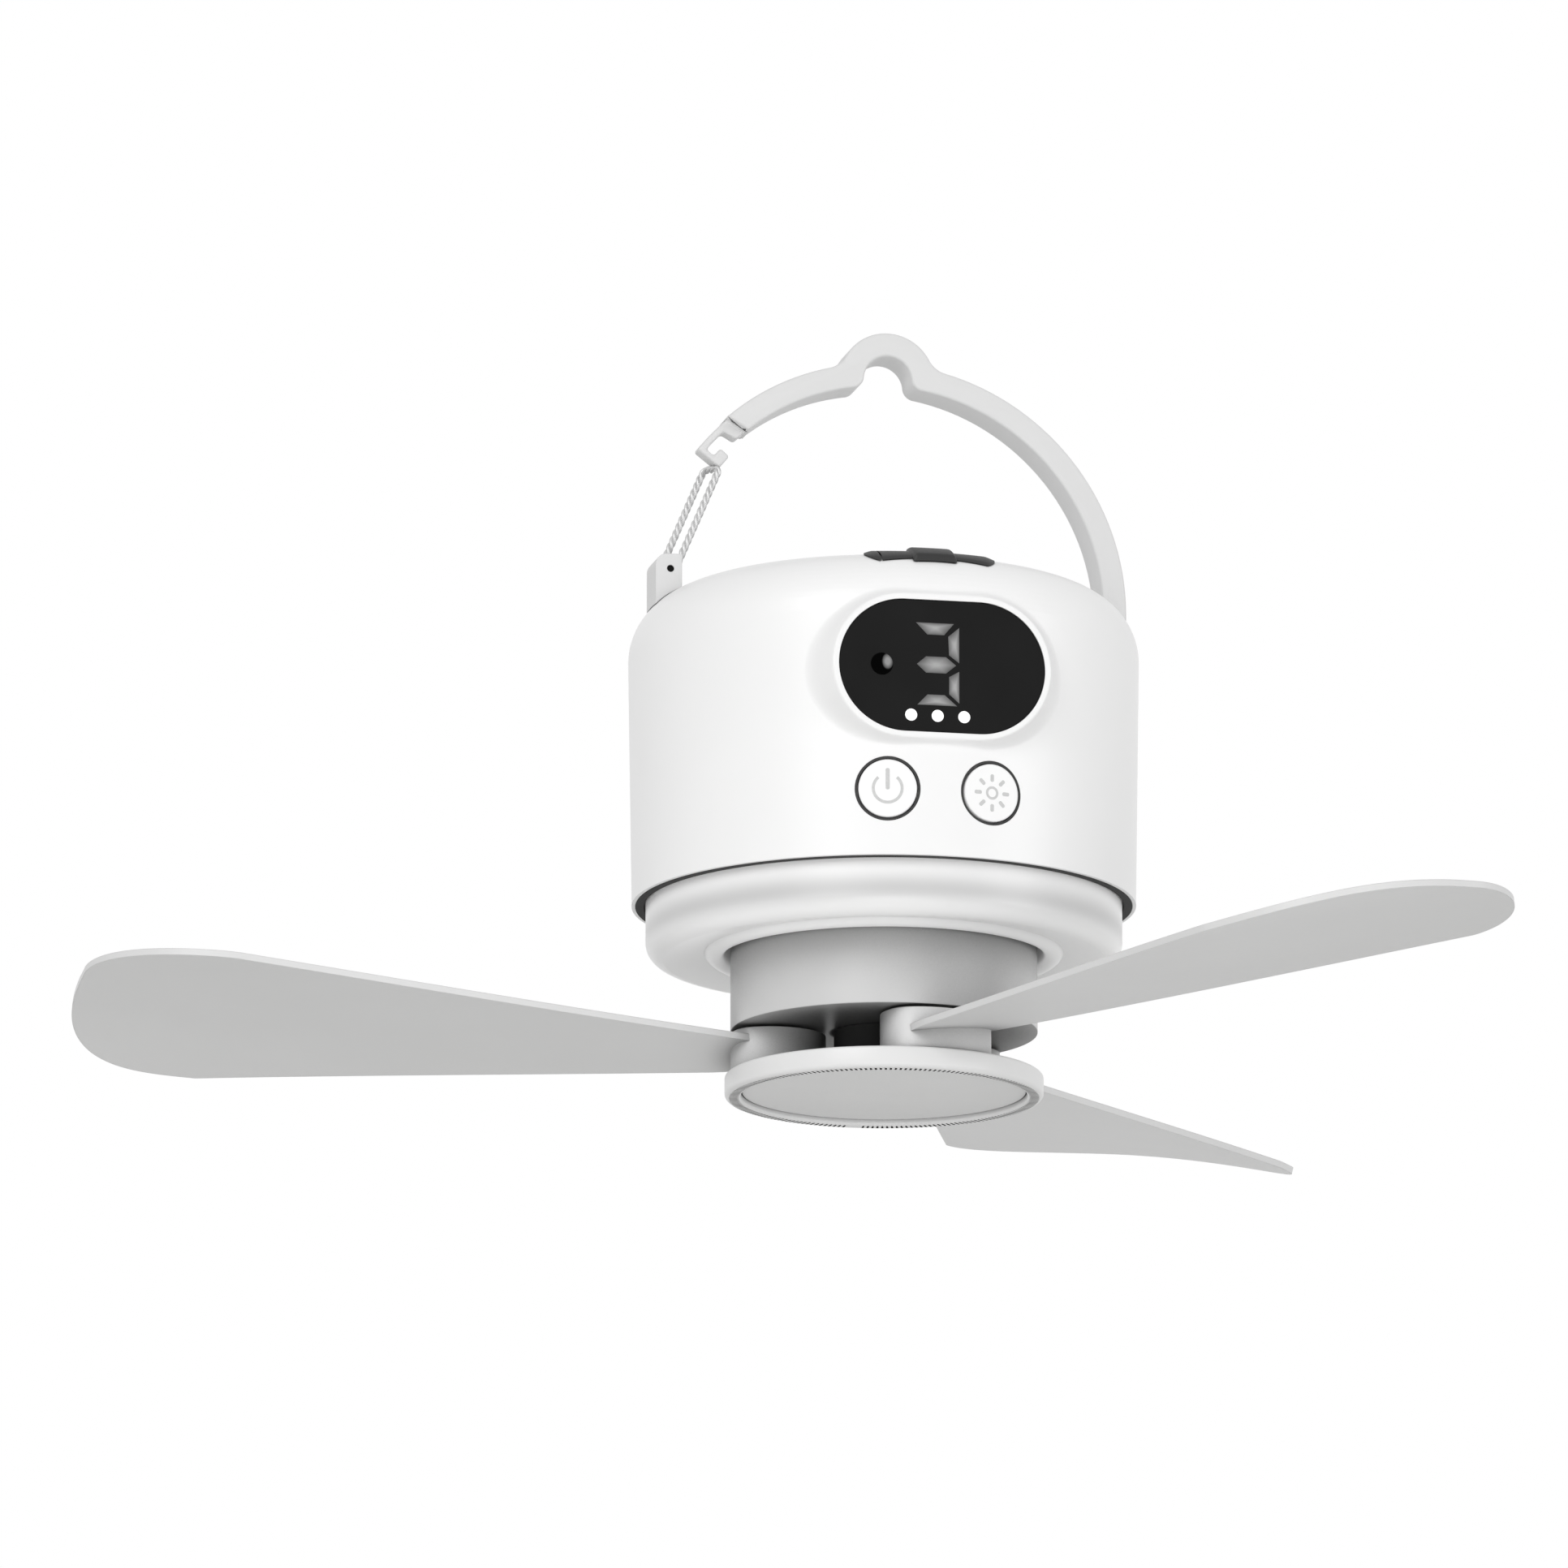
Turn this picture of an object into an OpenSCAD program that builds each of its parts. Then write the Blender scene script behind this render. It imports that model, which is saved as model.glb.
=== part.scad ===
// Portable camping fan: a round battery body that hangs from an arched
// carabiner handle, with a ring light below it and three folding blades.
// The origin is the centre of the half-round seat at the top of the handle,
// where the hook bears. +Z is up, and the display and buttons face -Y.

/* [Body] */
// Outer diameter of the body just under its shoulder
body_d = 114.6; // [106:0.2:124]
// Height of the body, from its flat top to its lower rim
body_h = 70.7; // [68:0.1:82]
// Radius of the rounded shoulder
shoulder_r = 15; // [12:0.5:18]
// How much narrower the body is at its lower rim, on the radius
body_taper = 0.9; // [0:0.1:1.5]
// Wall of the moulded housing
wall = 2.2; // [1.8:0.1:2.8]
// How far the centre of the handle's arch lies below the body's flat top
arch_foot = 1.6; // [1:0.1:2.4]

/* [Handle] */
// Radius of the hook seat
hook_r = 5.5; // [4:0.25:6]
// Thickness of the handle, measured across the arch
handle_t = 5.4; // [4.6:0.2:6]
// Depth of the handle from front to back
handle_depth = 10.4; // [9.6:0.2:12]
// How far the arch stands in from the side of the body
arch_inset = 2.3; // [2:0.1:3]
// How far the arch's outer edge rises above the centre of the hook seat
arch_rise = 3.9; // [3.5:0.1:4.3]
// Radius of the blends beside the hook seat
blend_r = 6; // [4:0.5:8]
// Radius of the gate wire
wire_r = 0.65; // [0.5:0.05:0.8]
// Radius of the gate's pin
gate_pin_r = 0.8; // [0.6:0.05:1]

/* [Display] */
// Width of the display window
window_w = 46.4; // [42:0.2:49]
// Height of the display window
window_h = 29.6; // [26:0.2:31]
// Width of the raised lip around the window
window_lip = 1.5; // [1:0.1:2]
// Drop from the top of the body to the middle of the window
display_drop = 28.4; // [26:0.1:30]
// How far the lip stands in front of the body
display_stand = 0.9; // [0.6:0.1:1.5]
// Thickness of the window
window_t = 1.5; // [1:0.1:2]
// Height of the digit
digit_h = 19.4; // [15:0.1:21]

/* [Buttons] */
// Diameter of a button
button_d = 12.9; // [10:0.1:14]
// Gap all round a button
button_gap = 0.8; // [0.4:0.1:1]
// Distance between the two buttons' centres
button_pitch = 23.8; // [20:0.2:26]
// Height of the buttons' centres above the lower rim
button_rise = 14.8; // [13:0.1:18]
// Travel of a button
button_travel = 0.7; // [0.4:0.1:0.9]

/* [Port cover] */
// Length of the port cover around the shoulder
cover_l = 29.5; // [29:0.5:34]
// Width of the port cover
cover_w = 10; // [9.5:0.5:11]
// Thickness of the port cover
cover_t = 0.7; // [0.7:0.1:1.2]

/* [Light ring] */
// How far the diffuser's side stands in from the side of the body
diffuser_inset = 4; // [3.8:0.1:7]
// Height of the diffuser below the base plate
diffuser_h = 12.9; // [11:0.1:15]
// Number of light emitting diodes
led_count = 24; // [12:1:30]

/* [Rotor] */
// Outer diameter of the hub
hub_d = 68.6; // [66:0.2:72]
// Length of hub that shows below the diffuser
hub_show = 16.4; // [14:0.1:20]
// Height of the slot that holds the blade roots
slot_h = 9.9; // [9:0.1:12]
// Outer diameter of the cap under the blades
cap_d = 71.2; // [68:0.2:76]
// Height of the cap
cap_h = 5; // [4.5:0.1:7]
// Radius of the circle that the blade pins stand on
pivot_r = 25.4; // [25:0.1:27]
// Angle of the left blade's pin, seen from above
pivot_angle = 164; // [158:1:170]

/* [Blades] */
// Length of a blade, from its pin to its tip
blade_l = 156; // [130:1:165]
// Widest reach of a blade ahead of its pin line
blade_lead = 38.4; // [30:0.2:40]
// Widest reach of a blade behind its pin line
blade_trail = 43.4; // [34:0.2:45]
// Thickness of a blade
blade_t = 1.5; // [1.2:0.1:1.8]
// Pitch of a blade, in degrees
blade_pitch = 6.2; // [4:0.1:7]
// Rise of the tip above the root
blade_rise = 10.2; // [4:0.2:11]
// Radius of the round block at a blade's root
root_r = 12.4; // [11:0.1:12.6]
// Radius of a blade's pin
pin_r = 2; // [1.5:0.1:2.5]
// Swing of the left blade from its even place, in degrees
left_swing = -1.5; // [-2:0.5:2]
// Swing of the front blade from its even place, in degrees
front_swing = 2.4; // [-2:0.1:2.5]
// Swing of the back blade from its even place, in degrees
back_swing = 0; // [-2:0.5:2]

/* [Hidden] */
$fn = 96;
eps = 0.01;
fit = 0.05;       // running clearance of a pin in its hole, on the radius
seat_gap = 0.15;  // clearance between pieces that seat in each other
clear = 0.3;      // clearance between moving pieces

// Levels, measured from the hook seat
arch_r = body_d / 2 - arch_inset;
arch_drop = arch_r - arch_rise;
body_top = arch_foot - arch_drop;
body_bottom = body_top - body_h;
shoulder_z = body_top - shoulder_r;
rim_r = body_d / 2 - body_taper;

// Base plate that closes the body and carries the motor and the light
plate_recess = 0.6;
plate_t = 3;
plate_under = body_bottom + plate_recess;
plate_top = plate_under + plate_t;
plate_r = rim_r - wall - seat_gap;
boss_r = 3.5;
boss_ring = plate_r - 5.85;
boss_h = 14;
housing_screw_r = 1.25;

// Diffuser
diffuser_r = body_d / 2 - diffuser_inset;
diffuser_wall = 1.9;
diffuser_bottom = plate_under - diffuser_h;
diffuser_round = 4;
tongue_h = 1;

// Rotor
hub_r = hub_d / 2;
hub_gap = 1.1;
hub_wall = 2;
hub_floor = 3;
hub_bottom = diffuser_bottom - hub_show;
hub_top = plate_under - 4.3;
slot_bottom = hub_bottom - slot_h;
cap_bottom = slot_bottom - cap_h;
cap_r = cap_d / 2;
pillar_r = 11.2;
cap_screw_ring = 7.2;
cap_screw_r = 1.25;
disc_r = 31.8;
disc_recess = 0.7;
disc_t = 1.6;
head_sink = 1.2;
pin_seat = 2;

// Motor
shaft_r = 2;
bearing_r = 6.5;
bearing_w = 5;
tube_r = 8.6;
tube_bottom = hub_bottom + hub_floor + 2.2;
mount_r = 17;
mount_t = 2;
stator_r = 27.6;
stator_h = 9;
stator_z = (hub_top + hub_bottom + hub_floor) / 2 - stator_h / 2 - 0.4;
stator_teeth = 12;
air_gap = 0.6;
magnet_t = 2;

// Blades
root_clear = 0.15;
washer_t = 0.5;
washer_r = 6;
root_top = hub_bottom - washer_t - root_clear;
root_bottom = slot_bottom + root_clear;
plate_z = hub_bottom - 3.9;
root_start = 3;
root_lead = 8.8;
root_trail = 11.1;
blade_names = ["left", "front", "back"];
blade_turn = [0, 120, 240];
blade_swing = [left_swing, front_swing, back_swing];
open_angle = 180;
camber = 1.5;

// Handle
arch_in = arch_r - handle_t;
hump_r = hook_r + handle_t;
round_r = 3;
arch_mid = arch_r - handle_t / 2;
nose_step = 131.2;  // where the arch narrows to its nose
nose_gap = 134.2;   // where the nose opens
hook_tip = 138;
hook_base = 140.6;
nose_end = 142.2;
cut_slant = 16;
nose_inset = 0.3;
nose_arm = 1.9;
hook_low = arch_r - 6.8;
hook_t = 2.7;
nose_half = 2.2;
lug_w = 6;
lug_depth = 9.6;
lug_mid = -(arch_r - 4.7);
lug_round = 2.6;
lug_top = -arch_drop + 8.5;
gate_x = lug_mid + 0.4;
gate_z = lug_top - 3.4;
strand_y = 3.1;     // from the middle to each strand's foot
strand_x = 1.2;     // strands lean apart by this, each way
eye_t = 1.4;
eye_wall = 0.9;
pocket_side = 1.05;
pocket_low = 2.2;
lug_skin = 0.8;
bar_angle = 143.3;
bar_r = arch_r - 5.7;
gate_corner = 1.5;
tongue_side = 0.5;
tongue_end = shoulder_z - 10.4;
shelf_t = 3;
handle_screw_r = 1.35;
foot_places = [arch_mid, lug_mid];
thread = 0.03;      // clearance of a screw in its hole, on the radius

// Display and control board
window_y = -(body_d / 2 + display_stand);
window_z = body_top - display_drop;
window_sink = 0.3;
skirt = 4;
board_y = 14.3 - body_d / 2;
board_t = 1.6;
control_board_w = 50;
board_post_x = 21;
board_screw_r = 1;
button_z = body_bottom + button_rise;
board_post_z = button_z + 13;
button_angle = asin(button_pitch / body_d);
flange = 1.2;       // how far a button's flange reaches behind the wall
flange_t = 1;
flange_r = sqrt(pow(rim_r - wall, 2) - pow(button_d / 2 + flange, 2)) - clear;
button_low = flange_r - body_d / 2;
stem_l = 2.2;
seal_gap = 0.3;
digit_w = digit_h / 2;
segment = 2.3;

// Port cover on the shoulder
cover_mid = 77;   // angle up the shoulder's round
cover_gap = 0.3;
tab_w = 10.4;
tab_reach = 6.7;
tab_rise = 0.65;
anchor_l = 2.6;
anchor_y = -cover_l / 2 + anchor_l / 2;
anchor_r = 1.1;
anchor_drop = 1;    // the body curves away under the cover's end
fold_gap = 0.5;
fold_y = -cover_l / 2 + anchor_l + fold_gap / 2 - 0.1;
usb_c = [9, 3.2];
usb_a = [13, 5.2];
port_wall = 1;
usb_c_y = fold_y + 0.9 + usb_c[0] / 2;
usb_a_y = usb_c_y + usb_c[0] / 2 + port_wall + usb_a[0] / 2 + 0.4;
port_depth = 7.4;
port_board_l = 40.4;
port_post = 17.6;

// Battery
cell_d = 18.3;
cell_l = 65;
cell_gap = 0.3;
cell_pitch = cell_d + cell_gap;
cell_count = 4;
tray_floor = 2;
tray_x = cell_l / 2 + 4;
tray_y = cell_pitch * cell_count / 2 + 1.2;
cell_z = plate_top + tray_floor + cell_d / 2 + 0.1;
board_post = 4;
main_board_z = cell_z + cell_d / 2 + board_post;
main_board_w = 54;

// ---------- shared shapes ----------

// Half outline of the body, grown by a distance, from its top to a lower level
module body_outline(grow, low) {
    r = body_d / 2;
    polygon([[0, low], [r - body_taper * (shoulder_z - low) / (shoulder_z - body_bottom) + grow, low],
        [r + grow, shoulder_z], [0, shoulder_z]]);
    square_at(0, shoulder_z - eps, r - shoulder_r, shoulder_r + grow + eps);
    intersection() {
        translate([r - shoulder_r, shoulder_z]) circle(shoulder_r + grow);
        square_at(0, shoulder_z - eps, r + grow, shoulder_r + grow + eps);
    }
}

module square_at(x, y, w, h) {
    translate([x, y]) square([w, h]);
}

// Solid of the body's outer form, grown by a distance
module body_form(grow, low) {
    rotate_extrude() body_outline(grow, low);
}

module ring(r_out, r_in, h) {
    difference() {
        cylinder(r = r_out, h = h);
        translate([0, 0, -eps]) cylinder(r = r_in, h = h + 2 * eps);
    }
}

// Flat shape with half-round ends, lying across X
module stadium(w, h) {
    square([w - h, h], center = true);
    for (side = [-1, 1]) translate([side * (w - h) / 2, 0]) circle(d = h);
}

// Turns a flat shape to face -Y, with its front at y
module facing(y, depth) {
    translate([0, y, 0]) rotate([90, 0, 0]) translate([0, 0, -depth]) linear_extrude(depth) children();
}

// The middle of the port cover, on the front of the shoulder: local +Z
// points straight out of the surface and +Y to the right
module on_shoulder() {
    rotate([0, 0, -90])
        translate([body_d / 2 - shoulder_r + shoulder_r * cos(cover_mid), 0,
                shoulder_z + shoulder_r * sin(cover_mid)])
            rotate([0, 90 - cover_mid, 0]) children();
}

module around(count, radius, start = 0) {
    for (i = [0:count - 1]) rotate([0, 0, start + i * 360 / count]) translate([radius, 0, 0]) children();
}

// Pan-head screw, head down, its head's bearing face at z = 0
module screw_up(r, length, head_r, head_h) {
    cylinder(r = r, h = length);
    difference() {
        translate([0, 0, -head_h]) cylinder(r = head_r, h = head_h);
        translate([0, 0, -head_h - eps]) cylinder(d = head_r * 0.9, h = head_h * 0.6, $fn = 6);
    }
}

// ---------- body ----------

// Raised pad that carries the display window, with sloping sides
module display_pad() {
    w = window_w + 2 * window_lip;
    h = window_h + 2 * window_lip;
    depth = 12;
    spread = skirt * depth / 6;
    reach = (w - h) / 2;
    translate([0, window_y, window_z]) rotate([-90, 0, 0]) {
        for (side = [-1, 1]) translate([side * reach, 0, 0])
            cylinder(r1 = h / 2, r2 = h / 2 + spread, h = depth);
        rotate([0, 90, 0]) linear_extrude(2 * reach, center = true)
            polygon([[0, -h / 2], [-depth, -h / 2 - spread], [-depth, h / 2 + spread], [0, h / 2]]);
    }
}

module housing_shell() {
    color("white") difference() {
        union() {
            difference() {
                union() {
                    body_form(0, body_bottom);
                    intersection() {
                        display_pad();
                        translate([-body_d / 2, -body_d, body_bottom])
                            cube([body_d, body_d, body_h - 2]);
                    }
                }
                body_form(-wall, body_bottom - 1);
            }
            screw_bosses();
            handle_shelves();
            window_frame();
            intersection() {
                board_posts() cylinder(r = 2.4, h = 20);
                body_form(-wall / 2, body_bottom);
            }
        }
        // window seat and the opening behind it
        translate([0, 0, window_z]) {
            facing(window_y - 1, window_sink + window_t + 1)
                stadium(window_w + 2 * seat_gap, window_h + 2 * seat_gap);
            facing(window_y - 1, 20) stadium(window_w - 3, window_h - 3);
        }
        // button holes
        for (side = [-1, 1]) at_button(side) translate([0, 0, button_low - flange_t])
            cylinder(d = button_d + 2 * button_gap, h = 20);
        // port slots in the shoulder, and the hole for the cover's anchor
        on_shoulder() {
            translate([0, usb_c_y, -8]) rotate([0, 0, 90]) linear_extrude(12)
                stadium(usb_c[0] + 0.4, usb_c[1] + 0.4);
            translate([-usb_a[1] / 2 - 0.2, usb_a_y - usb_a[0] / 2 - 0.2, -8])
                cube([usb_a[1] + 0.4, usb_a[0] + 0.4, 12]);
            translate([0, anchor_y, -8]) cylinder(r = anchor_r + 0.02, h = 12);
        }
        // slots for the feet of the handle and of the lug
        foot_slot(arch_in + handle_t / 2, handle_t, handle_depth);
        foot_slot(lug_mid, lug_w, lug_depth);
        // holes for the screws of the control board and the port board
        board_posts() translate([0, 0, -eps]) cylinder(r = board_screw_r, h = 4.5);
        // holes for the housing screws
        around(4, boss_ring) translate([0, 0, plate_top - eps])
            cylinder(r = housing_screw_r, h = boss_h - 2);
    }
}

// Four screw bosses, ribbed to the wall
module screw_bosses() {
    intersection() {
        translate([0, 0, plate_top]) around(4, boss_ring) {
            cylinder(r = boss_r, h = boss_h);
            translate([0, -1, 0]) cube([body_d / 2 - boss_ring, 2, boss_h]);
        }
        body_form(-wall / 2, body_bottom);
    }
}

// Ledges that the feet of the handle and the lug are screwed to from below
module handle_shelves() {
    intersection() {
        for (x = foot_places)
            difference() {
                translate([x - 7, -handle_depth / 2 - 2, tongue_end - shelf_t])
                    cube([14, handle_depth + 4, shelf_t]);
                translate([x, 0, tongue_end - shelf_t - 1])
                    cylinder(r = handle_screw_r + 0.2, h = shelf_t + 2);
            }
        body_form(-wall / 2, body_bottom);
    }
}

// Slot through the shoulder for a foot's tongue
module foot_slot(x, w, depth) {
    half_t = w / 2 - tongue_side + seat_gap;
    half_d = depth / 2 - tongue_side + seat_gap;
    translate([x - half_t, -half_d, shoulder_z - 8]) cube([2 * half_t, 2 * half_d, shoulder_r + 8]);
}

// Wall of the pad around the opening behind the window
module window_frame() {
    intersection() {
        translate([0, 0, window_z]) difference() {
            facing(window_y + window_sink + window_t, 12) stadium(window_w, window_h);
            facing(window_y, 20) stadium(window_w - 3, window_h - 3);
        }
        difference() {
            body_form(-wall / 2, body_bottom);
            body_form(-wall - 1, body_bottom - 1);
        }
    }
}

// Places of the posts that the control board and the port board are screwed
// to, with local +Z into the housing's wall
module board_posts() {
    for (side = [-1, 1]) {
        translate([side * board_post_x, board_y - board_t, board_post_z]) rotate([90, 0, 0]) children();
        on_shoulder() translate([0, side * port_post, -wall - port_depth]) children();
    }
}

// A button's place: local +Z points straight out of the body
module at_button(side) {
    rotate([0, 0, side * button_angle]) translate([0, -body_d / 2, button_z]) rotate([90, 0, 0])
        children();
}

module base_plate() {
    color("dimgray") difference() {
        translate([0, 0, plate_under]) cylinder(r = plate_r, h = plate_t);
        // groove that holds the diffuser's rim
        translate([0, 0, plate_under - eps])
            ring(diffuser_r + seat_gap, diffuser_r - diffuser_wall - seat_gap, tongue_h + seat_gap);
        // holes for the housing screws and the motor's screws
        around(4, boss_ring) translate([0, 0, plate_under - 1]) {
            cylinder(r = housing_screw_r + 0.2, h = plate_t + 2);
            cylinder(r = 2.6, h = 2.2);
        }
        around(3, 13, 30) translate([0, 0, plate_under - eps]) cylinder(r = 1.1, h = plate_t - 0.6);
        // way through for the leads
        translate([20, 0, plate_under - 1]) cylinder(r = 3, h = plate_t + 2);
        translate([41, 12, plate_under - 1]) cylinder(r = 2, h = plate_t + 2);
    }
}

module housing_screws() {
    color("silver") around(4, boss_ring) translate([0, 0, plate_under + 1.2])
        screw_up(housing_screw_r - thread, 9, 2.35, 1);
}

// ---------- handle ----------

// Centres of the blends, where two circles of the arch and the seat meet
function blend_z(seat, arch, r) =
    (pow(arch + r, 2) - pow(seat + r, 2) - pow(arch_drop, 2)) / (2 * arch_drop);
function blend_x(seat, arch, r) = sqrt(pow(seat + r, 2) - pow(blend_z(seat, arch, r), 2));

// A three-cornered web between the seat, the arch and a blend circle. The
// circle laps over both a little, so that it crosses them.
module blend_web(seat, arch, r) {
    lap = 0.03;
    x = blend_x(seat, arch, r);
    z = blend_z(seat, arch, r);
    for (side = [-1, 1]) difference() {
        polygon([[0, 0], [side * x, z], [0, -arch_drop]]);
        translate([side * x, z]) circle(r + lap);
    }
}

// Sector between two angles of the arch
module arch_sector(from, to) {
    big = 2 * arch_r;
    mid = (from + to) / 2;
    translate([0, -arch_drop])
        polygon([[0, 0], for (a = [from, mid, to]) [big * cos(a), big * sin(a)]]);
}

module arch_band(from, to, r_out, r_in) {
    intersection() {
        translate([0, -arch_drop]) difference() {
            circle(r_out);
            circle(r_in);
        }
        arch_sector(from, to);
    }
}

// Side view of the arch with the hook seat at its crown
module arch_outline() {
    difference() {
        union() {
            arch_band(0, 60, arch_r, arch_in);
            difference() {
                arch_band(60 - eps, nose_step + 10, arch_r, arch_in);
                past(nose_step);
            }
            circle(hump_r);
            difference() {
                blend_web(hump_r, arch_r, blend_r);
                translate([0, -arch_drop]) circle(arch_in);
            }
            square_at(arch_in, tongue_end - 1, handle_t, -arch_drop - tongue_end + 1);
        }
        circle(hook_r);
        translate([0, -arch_drop]) circle(arch_in);
        blend_web(hook_r, arch_in, round_r);
    }
}

// Half plane that lies past a slanted cut across the arch
module past(angle) {
    translate([0, -arch_drop]) rotate(angle) translate([arch_mid, 0]) rotate(cut_slant)
        translate([-20, 0]) square(40);
}

// Side view of the thin nose with its hook
module nose_outline() {
    difference() {
        arch_band(nose_step - 4, nose_gap + 10, arch_r - nose_inset, arch_in + nose_inset);
        past(nose_gap);
    }
    arch_band(nose_gap - 2, nose_end, arch_r - nose_inset, arch_r - nose_arm);
    arch_band(hook_base, nose_end, arch_r - nose_inset, hook_low);
    arch_band(hook_tip, nose_end, hook_low + hook_t, hook_low);
}

// Turns a side view upright, with its thickness along Y
module upright(depth) {
    translate([0, depth / 2, 0]) rotate([90, 0, 0]) linear_extrude(depth) children();
}

module handle() {
    color("gainsboro") {
        difference() {
            upright(handle_depth) arch_outline();
            foot_trim(arch_mid, handle_t, handle_depth);
        }
        upright(2 * nose_half) nose_outline();
    }
}

// What a foot loses: the body below its seat, down to a tongue with a hole
// for the screw
module foot_trim(x, w, depth) {
    difference() {
        body_form(seat_gap, body_bottom);
        translate([x - w / 2 + tongue_side, -depth / 2 + tongue_side, tongue_end])
            cube([w - 2 * tongue_side, depth - 2 * tongue_side, -body_top]);
    }
    translate([x, 0, tongue_end - 1]) cylinder(r = handle_screw_r, h = 9);
}

// Side view of the lug, with its outer top corner rounded
module lug_outline() {
    left = lug_mid - lug_w / 2;
    square_at(left, tongue_end - 1, lug_w, lug_top - lug_round - tongue_end + 1);
    square_at(left + lug_round, lug_top - lug_round - eps, lug_w - lug_round, lug_round + eps);
    translate([left + lug_round, lug_top - lug_round]) circle(lug_round);
}

module gate_lug() {
    color("gainsboro") difference() {
        upright(lug_depth) lug_outline();
        foot_trim(lug_mid, lug_w, lug_depth);
        // two pockets for the gate's eyes, open upwards and inwards
        for (side = [-1, 1])
            translate([lug_mid - lug_w / 2 + lug_skin, side * strand_y - pocket_side, gate_z - pocket_low])
                cube([lug_w, 2 * pocket_side, 10]);
        translate([gate_x, 0, gate_z]) rotate([90, 0, 0])
            cylinder(r = gate_pin_r + 0.02, h = 20, center = true);
    }
}

module gate_pin() {
    color("silver") translate([gate_x, 0, gate_z]) rotate([90, 0, 0])
        cylinder(r = gate_pin_r, h = lug_depth - 0.6, center = true);
}

module handle_screws() {
    color("silver") for (x = foot_places)
        translate([x, 0, tongue_end - shelf_t]) screw_up(handle_screw_r - thread, shelf_t + 7, 2.6, 1.8);
}

bar_x = bar_r * cos(bar_angle);
bar_z = -arch_drop + bar_r * sin(bar_angle);
gate_l = norm([bar_x - gate_x, bar_z - gate_z]);
gate_lean = atan2(bar_x - gate_x, bar_z - gate_z);
bow_half = norm([strand_x, strand_y]);

// Bent wire with an eye around the pin at the foot of each strand. Its two
// strands leave their eyes on opposite sides, so the bow stands askew.
module wire_gate() {
    color("silver") translate([gate_x, 0, gate_z]) rotate([0, gate_lean, 0]) {
        difference() {
            union() {
                for (side = [-1, 1]) translate([0, side * strand_y, 0]) rotate([90, 0, 0])
                    cylinder(r = gate_pin_r + fit + eye_wall, h = eye_t, center = true);
                rotate([0, 0, atan2(strand_x, strand_y)]) bow();
            }
            rotate([90, 0, 0]) cylinder(r = gate_pin_r + fit, h = 3 * strand_y, center = true);
        }
    }
}

// The gate's wire: two strands, two bends and the bar across the top. The
// straights lap over the ends of the bends.
module bow() {
    lap = 0.05;
    for (side = [-1, 1]) {
        translate([0, side * bow_half, 0]) cylinder(r = wire_r, h = gate_l - gate_corner + lap);
        translate([0, side * (bow_half - gate_corner), gate_l - gate_corner]) rotate([0, -90, 0])
            rotate([0, 0, side > 0 ? 0 : -90]) rotate_extrude(angle = 90)
                translate([gate_corner, 0]) circle(wire_r - eps);
    }
    translate([0, 0, gate_l]) rotate([90, 0, 0])
        cylinder(r = wire_r, h = 2 * (bow_half - gate_corner + lap), center = true);
}

// ---------- display and controls ----------

module display_window() {
    color([0.1, 0.1, 0.1]) translate([0, 0, window_z]) facing(window_y + window_sink, window_t)
        stadium(window_w, window_h);
}

// One bar of the digit, with pointed ends
module digit_bar(length) {
    s = segment / 2;
    e = length / 2;
    polygon([[-e, 0], [s - e, s], [e - s, s], [e, 0], [e - s, -s], [s - e, -s]]);
}

module digit_three() {
    for (row = [-1, 0, 1]) translate([0, row * (digit_h - segment) / 2]) digit_bar(digit_w - segment / 2);
    for (row = [-1, 1]) translate([digit_w / 2 - segment / 2, row * (digit_h - segment) / 4])
        rotate(90) digit_bar((digit_h - segment) / 2 - 0.4);
}

module digit_module() {
    front = window_y + window_sink + window_t + 0.3;
    color([0.25, 0.25, 0.25]) translate([0, 0, window_z + 0.7]) {
        facing(front + 0.4, board_y - board_t - front - 0.4)
            square([digit_w + 4, digit_h + 1], center = true);
        facing(front, 0.5) digit_three();
    }
}

module status_leds() {
    front = window_y + window_sink + window_t + 0.3;
    color("white") for (i = [-1:1]) translate([i * 6.1, 0, window_z - window_h / 2 + 3.6])
        facing(front, board_y - board_t - front) circle(1.35);
}

module infrared_receiver() {
    front = window_y + window_sink + window_t + 1.2;
    color([0.15, 0.12, 0.15]) translate([-13.2, 0, window_z]) {
        facing(front, board_y - board_t - front) square([5, 6], center = true);
        translate([0, front, 0]) intersection() {
            sphere(r = 2.4);
            translate([-3, -0.9, -3]) cube([6, 2, 6]);
        }
    }
}

module control_board() {
    low = body_bottom + 7;
    color("darkgreen") difference() {
        translate([-control_board_w / 2, board_y - board_t, low])
            cube([control_board_w, board_t, window_z + window_h / 2 - 1 - low]);
        screw_ways();
    }
}

// Holes through the two boards for their screws
module screw_ways() {
    board_posts() translate([0, 0, -board_t - eps])
        cylinder(r = board_screw_r + 0.15, h = board_t + 2 * eps);
}

module board_screws() {
    color("silver") board_posts() translate([0, 0, -board_t])
        screw_up(board_screw_r - thread, board_t + 3.8, 1.9, 1.1);
}

// A button's face follows the body, and its flange keeps it in the housing
module button(side) {
    intersection() {
        at_button(side) translate([0, 0, button_low - eps]) cylinder(d = button_d, h = 12);
        body_form(0.25, body_bottom);
    }
    at_button(side) {
        translate([0, 0, button_low - flange_t]) cylinder(r = button_d / 2 + flange, h = flange_t);
        translate([0, 0, button_low - flange_t - stem_l]) cylinder(r = 2, h = stem_l + eps);
    }
}

module power_button() {
    color("whitesmoke") button(-1);
}

module light_button() {
    color("whitesmoke") button(1);
}

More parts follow.
